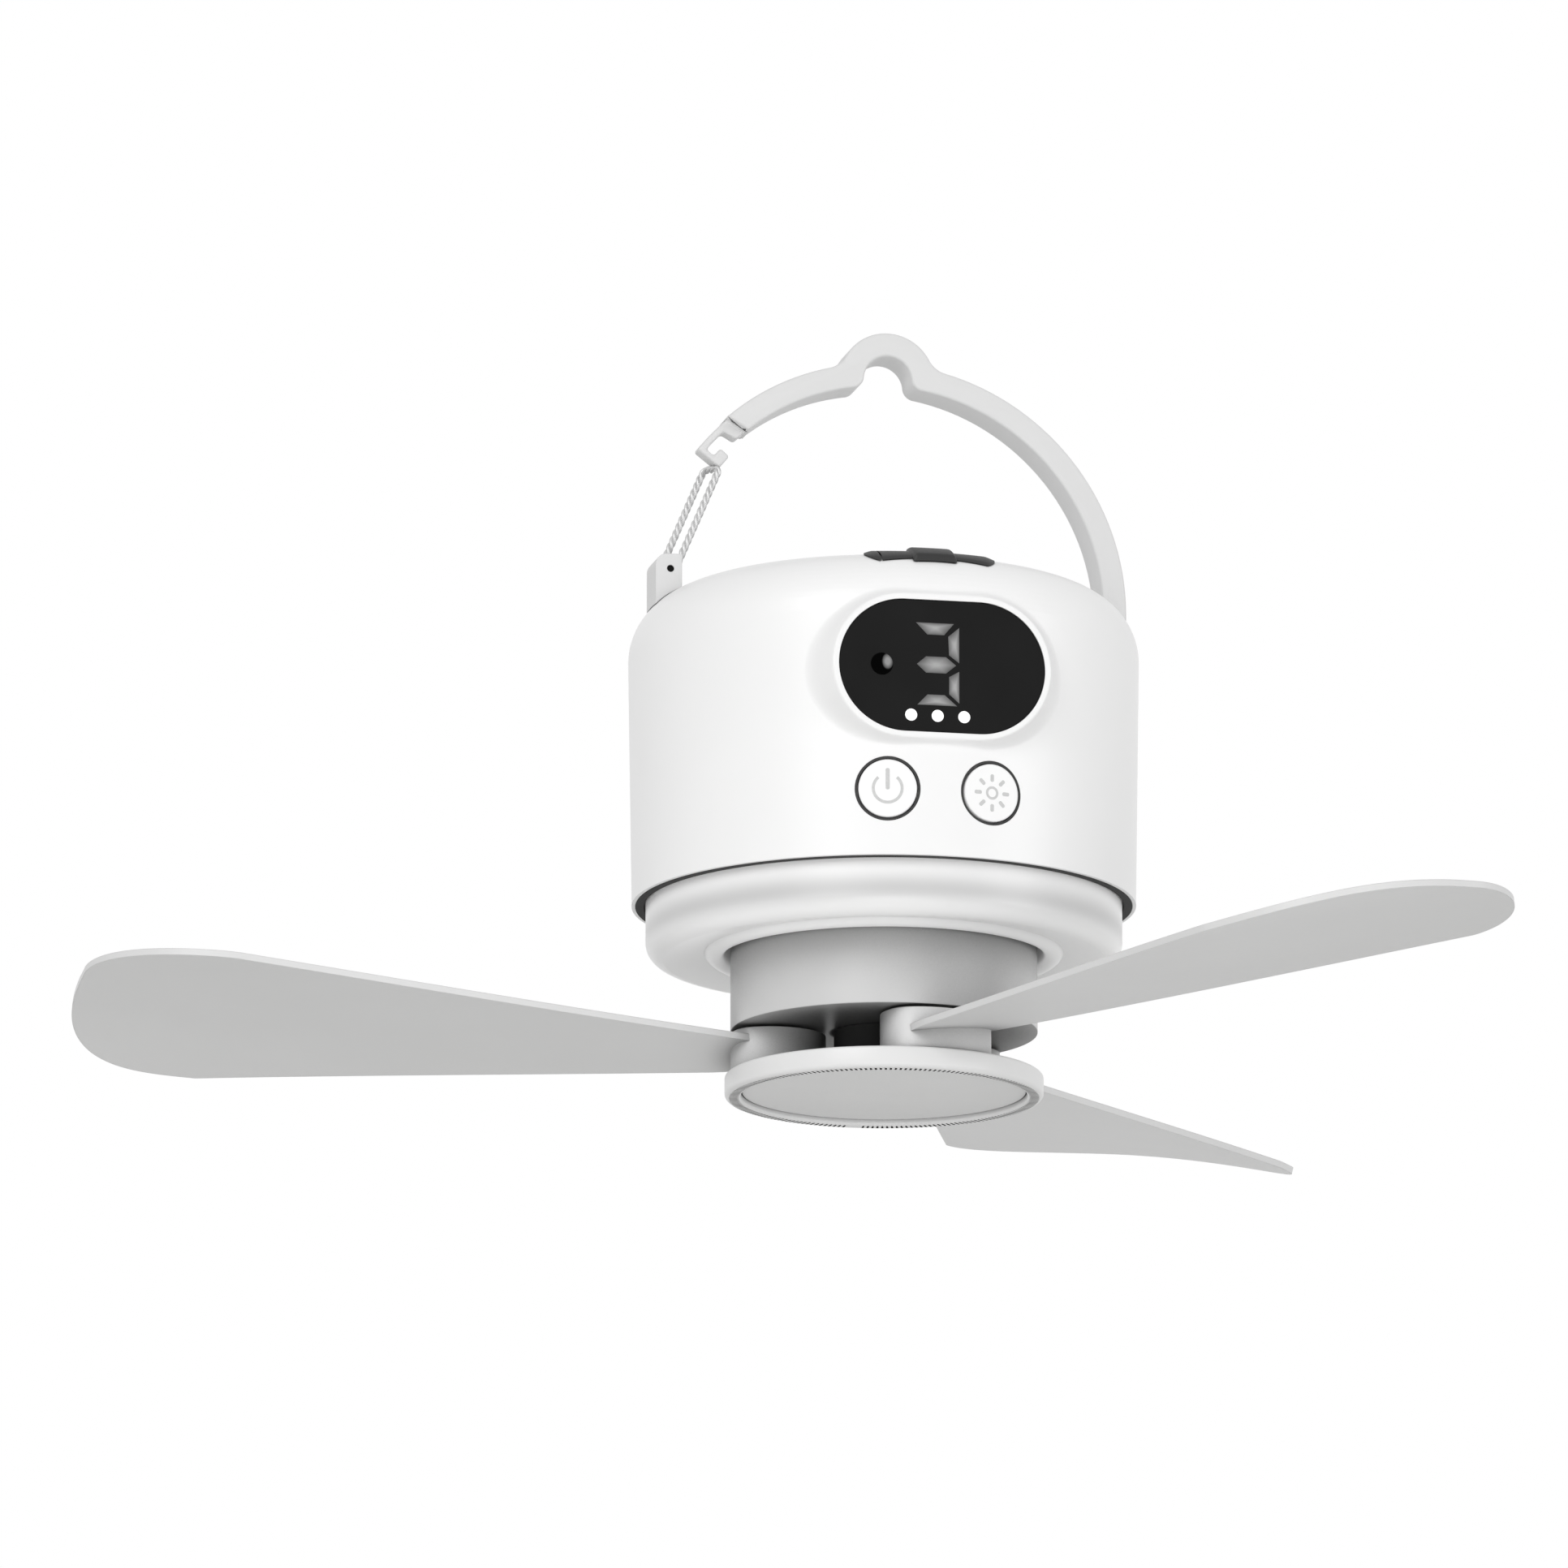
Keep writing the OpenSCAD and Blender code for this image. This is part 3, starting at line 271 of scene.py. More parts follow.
shell = body_block("housing_shell_moulding", 0, body_bottom, 256, 16)
pick(shell, "edges", lambda a, b: abs(a.z - b.z) > 30)
bpy.ops.mesh.subdivide(number_cuts=35)
pick(shell, "faces", lambda c, n: c.y < pad_back and abs(c.x) < pad_side
     and pad_rows[0] < c.z < pad_rows[1])
bpy.ops.mesh.subdivide(number_cuts=4)
bpy.ops.object.mode_set(mode="OBJECT")
for v in shell.data.vertices:
    x, y, z = v.co / MM
    if y > pad_back or not bent_rows[0] <= z <= bent_rows[1]:
        continue
    across = max(abs(x) - (window_w - window_h) / 2, 0.0)
    out = math.hypot(across, z - window_z) - window_h / 2 - lip
    y = soften(y, window_y + pad_slope * out, pad_blend)
    v.co.y = -soften(-y, -window_y, lip_blend) * MM

holes = [body_block("inside", wall, body_bottom - 2, 128, 10)]
seat = stadium_block("window_seat", window_w + seat_gap, window_h + seat_gap,
                     sink + window_t + 1)
holes.append(move_mesh(seat, Matrix.Translation(
    (0, window_y + (sink + window_t - 1) / 2, window_z))))
way = stadium_block("window_opening", window_w - seat_ledge, window_h - seat_ledge, 21)
holes.append(move_mesh(way, Matrix.Translation((0, window_y + 9.5, window_z))))
for side in (-1, 1):
    begin()
    bpy.ops.mesh.primitive_cylinder_add(vertices=96,
                                        radius=(button_r + button_gap) * MM,
                                        depth=20 * MM, rotation=(math.radians(90), 0, 0))
    hole = settle("button_hole")
    holes.append(move_mesh(hole, Matrix.Rotation(side * button_turn, 4, "Z")
                           @ Matrix.Translation((0, -55, button_z))))
slot_c = stadium_block("usb_c_way", 9.4, 3.6, 20)
holes.append(move_mesh(slot_c, port_place @ Matrix.Translation((0, -6.6, -2))
                       @ Matrix.Rotation(math.radians(90), 4, "Z")
                       @ Matrix.Rotation(math.radians(90), 4, "X")))
# Openings for the USB-A socket, the handle's tongue and the gate lug's tongue.
for middle, size, place in (
        ((0, 5.8, -2), (5.6, 13.4, 12), port_place),
        ((52.3, 0, -61), (4.7, 9.7, 23), Matrix.Identity(4)),
        ((-50.3, 0, -61), (5.3, 8.9, 23), Matrix.Identity(4))):
    begin()
    bpy.ops.mesh.primitive_cube_add(size=1, location=Vector(middle) * MM,
                                    scale=Vector(size) * MM)
    holes.append(move_mesh(settle("slot"), place))
cut(shell, holes)
smooth(shell, 32)


def moulded(name, shade, light, rough, grain, depth, soft=0.25, reach=0.0, **settings):
    """Moulded plastic: two near tones that drift, a grain from the mould, and eased edges.
    Within a reach, painted shade makes it darker in narrow gaps and crevices, where ambient
    occlusion finds other surfaces near."""
    material, tree, shader = blank(name, {"Roughness": rough, **settings})
    where = add(tree, "TexCoord").outputs["Object"]
    drift = add(tree, "TexNoise", {"Scale": 1 / (30 * MM), "Detail": 2.0}, {"Vector": where})
    mix = add(tree, "Mix", {"data_type": "RGBA", 6: tone(shade), 7: tone(light)},
              {0: drift.outputs[0]})
    if reach:
        # Painted shade: the colour is darkened where ambient occlusion finds other surfaces within
        # the reach.
        gap = add(tree, "AmbientOcclusion", {"samples": 8, "Distance": reach * MM})
        painted_shade = add(tree, "MapRange", {"From Min": 0.15, "From Max": 0.75,
                                      "To Min": 0.15, "To Max": 1.0}, {"Value": gap.outputs["AO"]})
        mix = add(tree, "Mix", {"data_type": "RGBA", "blend_type": "MULTIPLY", 0: 1.0},
                  {6: mix.outputs[2], 7: painted_shade.outputs[0]})
    tree.links.new(mix.outputs[2], shader.inputs["Base Color"])
    speck = add(tree, "TexNoise", {"Scale": 1 / (grain * MM), "Detail": 3.0}, {"Vector": where})
    sheen = add(tree, "MapRange", {"To Min": rough * 0.85, "To Max": rough * 1.15},
                {"Value": speck.outputs[0]})
    tree.links.new(sheen.outputs[0], shader.inputs["Roughness"])
    edge = add(tree, "Bevel", {"samples": 4, "Radius": soft * MM})
    bump = add(tree, "Bump", {"Strength": 0.35, "Distance": depth * MM},
               {"Height": speck.outputs[0], "Normal": edge.outputs[0]})
    tree.links.new(bump.outputs[0], shader.inputs["Normal"])
    return material


# Polished white ABS: nearly even, with a soft gloss. The mould's grain is about
# 0.1 mm, drawn at 0.7 mm so that it shows as a faint break in the gloss.
# Painted shade darkens it within 5 mm of narrow gaps, as round the keys, the window's lip and under
# the port cover's tab.
white_abs = moulded("moulded_white_abs", "#f0f0f0", "#f4f4f4", 0.34, 0.7, 0.012, reach=5)
shell.data.materials.clear()
shell.data.materials.append(white_abs)
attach(shell, "housing")
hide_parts("housing_shell")


def dress(material, *names):
    """Gives CAD nodes a material."""
    for name in names:
        for place in nodes[name].material_slots:
            place.material = material


# ---------- battery ----------
# Four round lithium cells in shrunk PVC sleeves, laid in a black moulded tray
# that stands on the base plate. The sleeves' blue drifts, with faint wrinkles.
sleeve, tree, shader = blank("shrunk_pvc_sleeve", {"Roughness": 0.38, "Coat Weight": 0.2})
where = add(tree, "TexCoord").outputs["Object"]
wrinkle = add(tree, "TexNoise", {"Scale": 1 / (4 * MM), "Detail": 4.0}, {"Vector": where})
mix = add(tree, "Mix", {"data_type": "RGBA", 6: tone("#3f6f93"), 7: tone("#4d80a6")},
          {0: wrinkle.outputs[0]})
bump = add(tree, "Bump", {"Strength": 0.3, "Distance": 0.05 * MM}, {"Height": wrinkle.outputs[0]})
tree.links.new(mix.outputs[2], shader.inputs["Base Color"])
tree.links.new(bump.outputs[0], shader.inputs["Normal"])
dress(sleeve, "battery_cells")

# Black ABS with a spark-eroded mould: dull, with a grain of about 0.3 mm.
black_abs = moulded("moulded_black_abs", "#262626", "#2e2e2e", 0.55, 0.5, 0.03)
dress(black_abs, "battery_tray", "base_plate", "digit_module")


# ---------- circuit boards ----------
# Glass-epoxy boards under solder mask: the main board over the cells, the
# control board behind the display, and the port board under the shoulder.
def solder_mask(name, mask, line):
    """Solder mask over copper: tracks show as lighter, slightly raised lines."""
    material, tree, shader = blank(name, {"Roughness": 0.3, "Coat Weight": 0.3,
                                          "Coat Roughness": 0.15})
    where = add(tree, "TexCoord").outputs["Object"]
    cells = add(tree, "TexVoronoi", {"distance": "MANHATTAN", "Scale": 1 / (5 * MM)},
                {"Vector": where})
    track = add(tree, "Math", {"operation": "PINGPONG", 1: 0.09}, {0: cells.outputs["Distance"]})
    sharp = add(tree, "MapRange", {"From Min": 0.03, "From Max": 0.05}, {"Value": track.outputs[0]})
    mix = add(tree, "Mix", {"data_type": "RGBA", 6: tone(mask), 7: tone(line)},
              {0: sharp.outputs[0]})
    bump = add(tree, "Bump", {"Strength": 0.4, "Distance": 0.035 * MM}, {"Height": sharp.outputs[0]})
    tree.links.new(mix.outputs[2], shader.inputs["Base Color"])
    tree.links.new(bump.outputs[0], shader.inputs["Normal"])
    return material


green_board = solder_mask("green_solder_mask", "#145c38", "#2a7a50")
dress(green_board, "main_board", "control_board", "port_board")


# ---------- screws ----------
# Pan-head screws of zinc-plated steel, all driven from below or from inside.
def plated(name, dark, light, rough, grain):
    """Plated or ground metal: small changes of tone and gloss from its grain."""
    material, tree, shader = blank(name, {"Metallic": 1.0, "Roughness": rough})
    where = add(tree, "TexCoord").outputs["Object"]
    grit = add(tree, "TexNoise", {"Scale": 1 / (grain * MM), "Detail": 5.0}, {"Vector": where})
    mix = add(tree, "Mix", {"data_type": "RGBA", 6: tone(dark), 7: tone(light)},
              {0: grit.outputs[0]})
    gloss = add(tree, "MapRange", {"To Min": rough * 0.7, "To Max": rough * 1.3},
                {"Value": grit.outputs[0]})
    edge = add(tree, "Bevel", {"samples": 4, "Radius": 0.12 * MM})
    bump = add(tree, "Bump", {"Strength": 0.2, "Distance": 0.01 * MM},
               {"Height": grit.outputs[0], "Normal": edge.outputs[0]})
    tree.links.new(mix.outputs[2], shader.inputs["Base Color"])
    tree.links.new(gloss.outputs[0], shader.inputs["Roughness"])
    tree.links.new(bump.outputs[0], shader.inputs["Normal"])
    return material


zinc = plated("zinc_plated_steel", "#a9abad", "#c9cbcc", 0.32, 0.6)
dress(zinc, "housing_screws", "board_screws", "handle_screws", "motor_screws", "cap_screws")

# ---------- sockets ----------
# The two charging sockets: folded steel shells, nickel plated.
nickel = plated("nickel_plated_steel", "#b8b5ae", "#cfccc5", 0.22, 0.4)
dress(nickel, "usb_c_socket", "usb_a_socket")

# ---------- display window ----------
# A flat pane of dark tinted acrylic, glued into its seat. It is so dark that
# only what shines through it shows: the digit and three status lights.
tinted, tree, shader = blank("tinted_acrylic", {
    "Roughness": 0.12, "Specular IOR Level": 0.07, "IOR": 1.49})
where = add(tree, "TexCoord").outputs["Object"]
haze = add(tree, "TexNoise", {"Scale": 1 / (12 * MM), "Detail": 2.0}, {"Vector": where})
mix = add(tree, "Mix", {"data_type": "RGBA", 6: tone("#191919"), 7: tone("#1f1f1f")},
          {0: haze.outputs[0]})
edge = add(tree, "Bevel", {"samples": 4, "Radius": 0.2 * MM})
tree.links.new(mix.outputs[2], shader.inputs["Base Color"])
tree.links.new(edge.outputs[0], shader.inputs["Normal"])
dress(tinted, "display_window")


# What shines through: five bars of one digit and three round lights, drawn as
# thin inlays in the pane's face, and the receiver's lens beside them.
def inlay(name, outline, proud=0.05):
    """A thin flat inlay in the pane's face, from its outline in mm about the window's
    middle. Its glow attribute is 1 in the middle of its front and 0 along its outline."""
    begin()
    bpy.ops.mesh.primitive_circle_add(vertices=len(outline), radius=MM, fill_type="NGON")
    piece = bpy.context.object
    face_y = window_y + sink
    for v, (x, z) in zip(piece.data.vertices, outline):
        v.co = Vector((x, face_y, window_z + z)) * MM
    piece = settle(name)
    bpy.ops.object.mode_set(mode="EDIT")
    bpy.ops.mesh.select_all(action="SELECT")
    bpy.ops.mesh.extrude_region_move(TRANSFORM_OT_translate={"value": (0, -proud * MM, 0)})
    bpy.ops.mesh.select_all(action="SELECT")
    bpy.ops.mesh.normals_make_consistent(inside=False)
    pick(piece, "faces", lambda c, n: n.y < -0.9)
    bpy.ops.mesh.poke()
    bpy.ops.object.mode_set(mode="OBJECT")
    glow = piece.data.attributes.new("glow", "FLOAT", "POINT")
    glow.data[len(glow.data) - 1].value = 1.0
    return piece


def round_outline(x, z, radius, sides):
    """A round outline in mm about the window's middle."""
    turns = (math.tau * k / sides for k in range(sides))
    return [(x + radius * math.cos(a), z + radius * math.sin(a)) for a in turns]


guide, tree, shader = blank("lit_acrylic_light_guide", {"Roughness": 0.35})
where = add(tree, "TexCoord").outputs["Object"]
haze = add(tree, "TexNoise", {"Scale": 1 / (3.2 * MM), "Detail": 1.0}, {"Vector": where})
glow = add(tree, "Attribute", {"attribute_name": "glow"})
share = add(tree, "Math", {"operation": "MULTIPLY_ADD", 1: 0.3},
            {0: haze.outputs[0], 2: glow.outputs["Fac"]})
mix = add(tree, "Mix", {"data_type": "RGBA", 6: tone("#3c3c3c"), 7: tone("#a2a2a2")},
          {0: share.outputs[0]})
tree.links.new(mix.outputs[2], shader.inputs["Base Color"])

bars = (
    ("digit_top", ((-5.9, 9.75), (2.7, 9.75), (0.5, 7.1), (-3.3, 7.1))),
    ("digit_middle", ((-5.7, 0.35), (-3.6, 2.15), (0.9, 2.15), (3.2, 0.35),
                      (0.9, -1.55), (-3.6, -1.55))),
    ("digit_bottom", ((-5.6, -8.85), (3.4, -8.85), (0.6, -6.45), (-3.3, -6.45))),
    ("digit_upper_right", ((3.9, 8.9), (3.9, 0.9), (1.6, 2.6), (1.4, 6.8))),
    ("digit_lower_right", ((3.9, -1.0), (3.9, -8.2), (1.6, -6.2), (1.6, -2.3))),
)
for name, outline in bars:
    bar = inlay(name, outline)
    bar.data.materials.append(guide)
    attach(bar, "housing")

lit, tree, shader = blank("lit_white_epoxy", {
    "Roughness": 0.3, "Emission Color": tone("#ffffff"), "Emission Strength": 0.35})
where = add(tree, "TexCoord").outputs["Object"]
milk = add(tree, "TexNoise", {"Scale": 1 / (2 * MM), "Detail": 2.0}, {"Vector": where})
mix = add(tree, "Mix", {"data_type": "RGBA", 6: tone("#f2f2f2"), 7: tone("#ffffff")},
          {0: milk.outputs[0]})
tree.links.new(mix.outputs[2], shader.inputs["Base Color"])
dress(lit, "status_leds")
dot_gap, dot_x, dot_z, dot_r = 6.0, -1.0, -11.2, 1.35
for i in range(3):
    dot = inlay(f"status_light_{i + 1}",
                round_outline(dot_gap * (i - 1) + dot_x, dot_z, dot_r, 40))
    dot.data.materials.append(lit)
    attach(dot, "housing")

# The receiver's dome is cast black epoxy. Its lens shows a painted glint: a grey highlight painted
# into its colour a little off centre.
epoxy, tree, shader = blank("cast_black_epoxy", {"Roughness": 0.4, "Specular IOR Level": 0.02})
where = add(tree, "TexCoord").outputs["Object"]
off = add(tree, "Mapping", {"Location": (12.3 * MM, 0, 54.1 * MM), "Scale": (1, 0, 0.7)},
          {"Vector": where})
far = add(tree, "VectorMath", {"operation": "LENGTH"}, {0: off.outputs[0]})
spot = add(tree, "MapRange", {"From Min": 0.5 * MM, "From Max": 1.3 * MM,
                              "To Min": 1.0, "To Max": 0.0}, {"Value": far.outputs["Value"]})
mix = add(tree, "Mix", {"data_type": "RGBA", 6: tone("#010101"), 7: tone("#929292")},
          {0: spot.outputs[0]})
tree.links.new(mix.outputs[2], shader.inputs["Base Color"])
dress(epoxy, "infrared_receiver")
lens_x, lens_r = -13.6, 2.5
lens = inlay("receiver_lens", round_outline(lens_x, 0.0, lens_r, 48))
lens.data.materials.append(epoxy)
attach(lens, "housing")

# ---------- buttons ----------
# Two round moulded keys that follow the body's curve, each in a thin dust
# ring of grey rubber, over a sealed switch.
key_white = moulded("moulded_white_key", "#f3f3f3", "#f7f7f7", 0.4, 0.6, 0.01, 0.5)
dress(key_white, "power_button", "light_button")
ring_rubber = moulded("moulded_grey_rubber", "#303030", "#3a3a3a", 0.7, 0.4, 0.02, 0.1)
dress(ring_rubber, "button_rings")
switch_nylon = moulded("moulded_black_nylon", "#1d1d1d", "#242424", 0.5, 0.5, 0.02)
dress(switch_nylon, "button_switches")


# The keys' signs are pad printed in thin grey ink: a power sign and a sun.
key_bulge, ink_t = 0.26, 0.04


def join_to(piece, others):
    """Joins other pieces to a piece, which becomes the active one."""
    begin()
    for other in (piece, *others):
        other.select_set(True)
    bpy.context.view_layer.objects.active = piece
    bpy.ops.object.join()


def thicken(piece, thickness, offset=0):
    """Makes the active piece, a bare sheet, a solid of a thickness in mm."""
    step = piece.modifiers.new("thickness", "SOLIDIFY")
    step.thickness = thickness * MM
    step.offset = offset
    bpy.ops.object.modifier_apply(modifier="thickness")


def print_on_key(side, name, parts):
    """Joins flat parts, lays them on the key's curved face and gives them thickness."""
    join_to(parts[0], parts[1:])
    piece = settle(name)
    turn = Matrix.Rotation(side * button_turn, 4, "Z")
    for v in piece.data.vertices:
        x, z = v.co.x / MM, v.co.y / MM + button_z
        draft = (body_r - rim_r) * (shoulder_z - z) / (shoulder_z - body_bottom)
        r = body_r - draft + key_bulge
        v.co = turn @ Vector((x, -math.sqrt(r * r - x * x), z)) * MM
    thicken(piece, ink_t)
    return piece


def flat_ring(outer, inner, gap=0.0, sides=72):
    """A flat ring in the XY plane, with a gap at its top."""
    begin()
    bpy.ops.mesh.primitive_circle_add(vertices=sides, radius=outer * MM)
    piece = settle("ring")
    bpy.ops.object.mode_set(mode="EDIT")
    bpy.ops.mesh.select_all(action="SELECT")
    bpy.ops.mesh.extrude_edges_move()
    shrink(inner / outer)
    pick(piece, "faces", lambda c, n: abs(math.atan2(c.x, c.y)) < gap)
    bpy.ops.mesh.delete(type="FACE")
    bpy.ops.object.mode_set(mode="OBJECT")
    return piece


def flat_bar(width, low, high, turn=0.0):
    """A flat bar with round ends, from one distance to another along +Y, then turned."""
    begin()
    bpy.ops.mesh.primitive_plane_add(size=1, location=(0, (low + high) / 2 * MM, 0))
    piece = bpy.context.object
    piece.scale = (width * MM, (high - low) * MM, 1)
    piece = settle("bar")
    bpy.ops.object.mode_set(mode="EDIT")
    bpy.ops.mesh.select_all(action="SELECT")
    bpy.ops.mesh.bevel(offset=width * 0.42 * MM, segments=4, affect="VERTICES")
    bpy.ops.object.mode_set(mode="OBJECT")
    return move_mesh(piece, Matrix.Rotation(turn, 4, "Z"))


ink, tree, shader = blank("pad_printed_grey_ink", {"Roughness": 0.5})
where = add(tree, "TexCoord").outputs["Object"]
cover = add(tree, "TexNoise", {"Scale": 1 / (0.5 * MM), "Detail": 2.0}, {"Vector": where})
mix = add(tree, "Mix", {"data_type": "RGBA", 6: tone("#bcbcbc"), 7: tone("#d2d2d2")},
          {0: cover.outputs[0]})
tree.links.new(mix.outputs[2], shader.inputs["Base Color"])
signs = (
    (-1, "power_sign", "power_button",
     [flat_ring(3.5, 2.85, math.radians(38)), flat_bar(0.9, -0.3, 4.5)]),
    (1, "sun_sign", "light_button",
     [flat_ring(1.5, 0.95)]
     + [flat_bar(0.85, 2.5, 4.2, math.tau * k / 8) for k in range(8)]),
)
for side, name, body, parts in signs:
    sign = print_on_key(side, name, parts)
    sign.data.materials.append(ink)
    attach(sign, body)

# ---------- port cover ----------
# A soft black rubber flap over the two sockets, with a thick tab to lift it.
# Its fixed end is held by a stud through the shell.
tpe = moulded("moulded_black_rubber", "#111111", "#1b1b1b", 0.5, 0.5, 0.02, 0.2)
cover_l, cover_w, fold = 29.5, 10.0, (-12.1, -11.7)
cover_low, cover_high, cover_wall = 0.16, 0.5, 0.12


def shoulder_spot(p):
    """A place at the shoulder, from its distances across, along and out of it in mm."""
    x, y = p.y, port_y - 0.974 * p.x
    r = max(math.hypot(x, y) - (body_r - shoulder_r), 0.0)
    return Vector((x, y, shoulder_z + math.sqrt((shoulder_r + p.z) ** 2 - r * r)))


def cover_strip(name, low, high):
    """A strip of the flap between two places along it. It thins towards its round ends."""
    begin()
    bpy.ops.mesh.primitive_grid_add(x_subdivisions=60, y_subdivisions=24, size=1)
    strip = settle(name)
    for v in strip.data.vertices:
        along = low + (high - low) * (v.co.x + 0.5)
        side = 2 * v.co.y
        share = max(1 - (2 * along / cover_l) ** 2, 0.0)
        across = side * cover_w / 2 * min(1.0, (share * 3.2) ** 0.5)
        rise = cover_low + cover_high * min(1.0, share * 4) * (1 - side ** 6) ** 0.5
        v.co = shoulder_spot(Vector((across, along, rise))) * MM
    thicken(strip, cover_wall, -1)
    return strip


# The tab is a block with slanted ends and eased edges.
tab_place, tab_size = Vector((1.7, 0, 0.9)), Vector((9.8, 10.2, 1.5))
tab_slant, tab_edge = 0.86, 0.45
begin()
bpy.ops.mesh.primitive_cube_add(size=1, location=tab_place * MM)
tab = bpy.context.object
tab.scale = tab_size * MM
tab = settle("tab")
pick(tab, "corners", lambda p: p.z > 1)
bpy.ops.transform.resize(value=(1, tab_slant, 1), center_override=(0, 0, 0))
bpy.ops.mesh.select_all(action="SELECT")
bpy.ops.mesh.bevel(offset=tab_edge * MM, segments=4, affect="EDGES")
bpy.ops.mesh.select_all(action="SELECT")
bpy.ops.mesh.subdivide(number_cuts=5)
bpy.ops.object.mode_set(mode="OBJECT")
for v in tab.data.vertices:
    v.co = shoulder_spot(v.co / MM) * MM
flap = cover_strip("port_cover_flap", fold[1], cover_l / 2)
join_to(flap, [tab])
end = cover_strip("port_cover_fixed_end", -cover_l / 2, fold[0])
for piece, body, node in ((flap, "port_cover", "port_cover"), (end, "housing", "cover_anchor")):
    smooth(piece, 40)
    piece.data.materials.append(tpe)
    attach(piece, body)
    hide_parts(node)


# ---------- handle ----------
# A solid arch of light grey moulded ABS, with a tongue at its foot that is
# screwed down inside the shoulder. Its crown has a seat for a hook, and its
# nose catches the gate. The gate turns on a lug of the same plastic.
def over_body(p):
    """How far a point lies outside the body's shoulder, in mm."""
    r = math.hypot(p.x, p.y)
    if r < body_r - shoulder_r:
        return p.z - body_top
    return math.hypot(r - (body_r - shoulder_r), max(p.z - shoulder_z, 0)) - shoulder_r


# The moulding is the solid arch made one closed mesh, with its outer edges rounded.
arch_edge, clear_of_body = 0.6, 0.4
begin()
arch = bpy.data.objects.new("handle_moulding", nodes["handle"].data.copy())
scene.collection.objects.link(arch)
bpy.context.view_layer.objects.active = arch
arch.select_set(True)
arch.data.materials.clear()
bpy.ops.object.mode_set(mode="EDIT")
bpy.ops.mesh.select_all(action="SELECT")
bpy.ops.mesh.remove_doubles(threshold=0.002 * MM)
bpy.ops.mesh.customdata_custom_splitnormals_clear()
bpy.ops.mesh.dissolve_limited(angle_limit=math.radians(0.6))
bpy.ops.mesh.select_mode(type="EDGE")
bpy.ops.mesh.select_all(action="DESELECT")
bpy.ops.mesh.edges_select_sharp(sharpness=math.radians(50))
bpy.ops.object.mode_set(mode="OBJECT")
for e in arch.data.edges:
    ends = [arch.data.vertices[i].co / MM for i in e.vertices]
    e.select = e.select and min(map(over_body, ends)) > clear_of_body
bpy.ops.object.mode_set(mode="EDIT")
bpy.ops.mesh.bevel(offset=arch_edge * MM, segments=3, affect="EDGES", clamp_overlap=False)
bpy.ops.object.mode_set(mode="OBJECT")
smooth(arch, 35)

handle_abs = moulded("moulded_light_grey_abs", "#d6d6d6", "#dcdcdc", 0.5, 0.6, 0.003)
dress(handle_abs, "gate_lug")
arch.data.materials.append(handle_abs)
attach(arch, "housing")
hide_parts("handle")

# ---------- gate ----------
# A spring gate bent from stranded steel wire, with an eye at each foot around
# a steel pin in the lug. Its bar rests behind the handle's nose.
black_steel = plated("blackened_steel_pin", "#141414", "#222222", 0.5, 0.3)
dress(black_steel, "gate_pin")
gate_foot = Vector((-49.9, 0, -46.0))
gate_l, gate_lean = 26.47, math.radians(23.06)
bow_half, bow_turn, corner = 3.324, math.atan2(1.2, 3.1), 1.5
wire_start, wire_step, strand_r, twist_r, twist_pitch = 0.9, 0.25, 0.42, 0.44, 5.2
eye_r, eye_turns = 1.2, (-3.45, -2.8, 2.8, 3.45)
eye_frame = Matrix.Translation(gate_foot) @ Matrix.Rotation(gate_lean, 4, "Y")
gate_frame = eye_frame @ Matrix.Rotation(bow_turn, 4, "Z")

# The wire's middle line, as places with directions: up one leg, round a corner
# and half way along the bar. The other half is its mirror image.
bend, straight = bow_half - corner, gate_l - corner
line = [(Vector((0, bow_half, k * wire_step + wire_start)), Vector((0, 0, 1)))
        for k in range(int((straight - wire_start) / wire_step) + 1)]
for a in (math.radians(9 * k) for k in range(1, 11)):
    line.append((Vector((0, bend + corner * math.cos(a), straight + corner * math.sin(a))),
                 Vector((0, -math.sin(a), math.cos(a)))))
line += [(Vector((0, bend - 2 * bend * k / 15, gate_l)), Vector((0, -1, 0)))
         for k in range(1, 8)]
line += [(Vector((0, -p.y, p.z)), Vector((0, t.y, -t.z))) for p, t in reversed(line)]
gate = bpy.data.curves.new("gate_wire", "CURVE")
gate.dimensions = "3D"
gate.bevel_depth = strand_r * MM
gate.bevel_resolution = 3
gate.use_fill_caps = True
for strand in range(3):
    spline = gate.splines.new("POLY")
    spline.points.add(len(line) - 1)
    run, last = 0.0, line[0][0]
    for point, (p, t) in zip(spline.points, line):
        run += (p - last).length
        last = p
        phase = math.tau * (run / twist_pitch + strand / 3)
        side = t.cross(Vector((1, 0, 0)))
        q = p + twist_r * (math.cos(phase) * side + math.sin(phase) * Vector((1, 0, 0)))
        point.co = (*(gate_frame @ q * MM), 1)
for y in eye_turns:
    spline = gate.splines.new("POLY")
    spline.points.add(31)
    spline.use_cyclic_u = True
    for point, k in zip(spline.points, range(32)):
        a = math.tau * k / 32
        q = Vector((eye_r * math.cos(a), y, eye_r * math.sin(a)))
        point.co = (*(eye_frame @ q * MM), 1)
begin()
wire = bpy.data.objects.new("wire_gate_stranded", gate)
scene.collection.objects.link(wire)
bpy.context.view_layer.objects.active = wire
wire.select_set(True)
bpy.ops.object.convert(target="MESH")
wire = bpy.context.object
bpy.ops.object.shade_smooth()
galvanised = plated("galvanised_steel_wire", "#b4b4b4", "#dadada", 0.5, 0.8)
wire.data.materials.append(galvanised)
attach(wire, "wire_gate")
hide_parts("wire_gate")

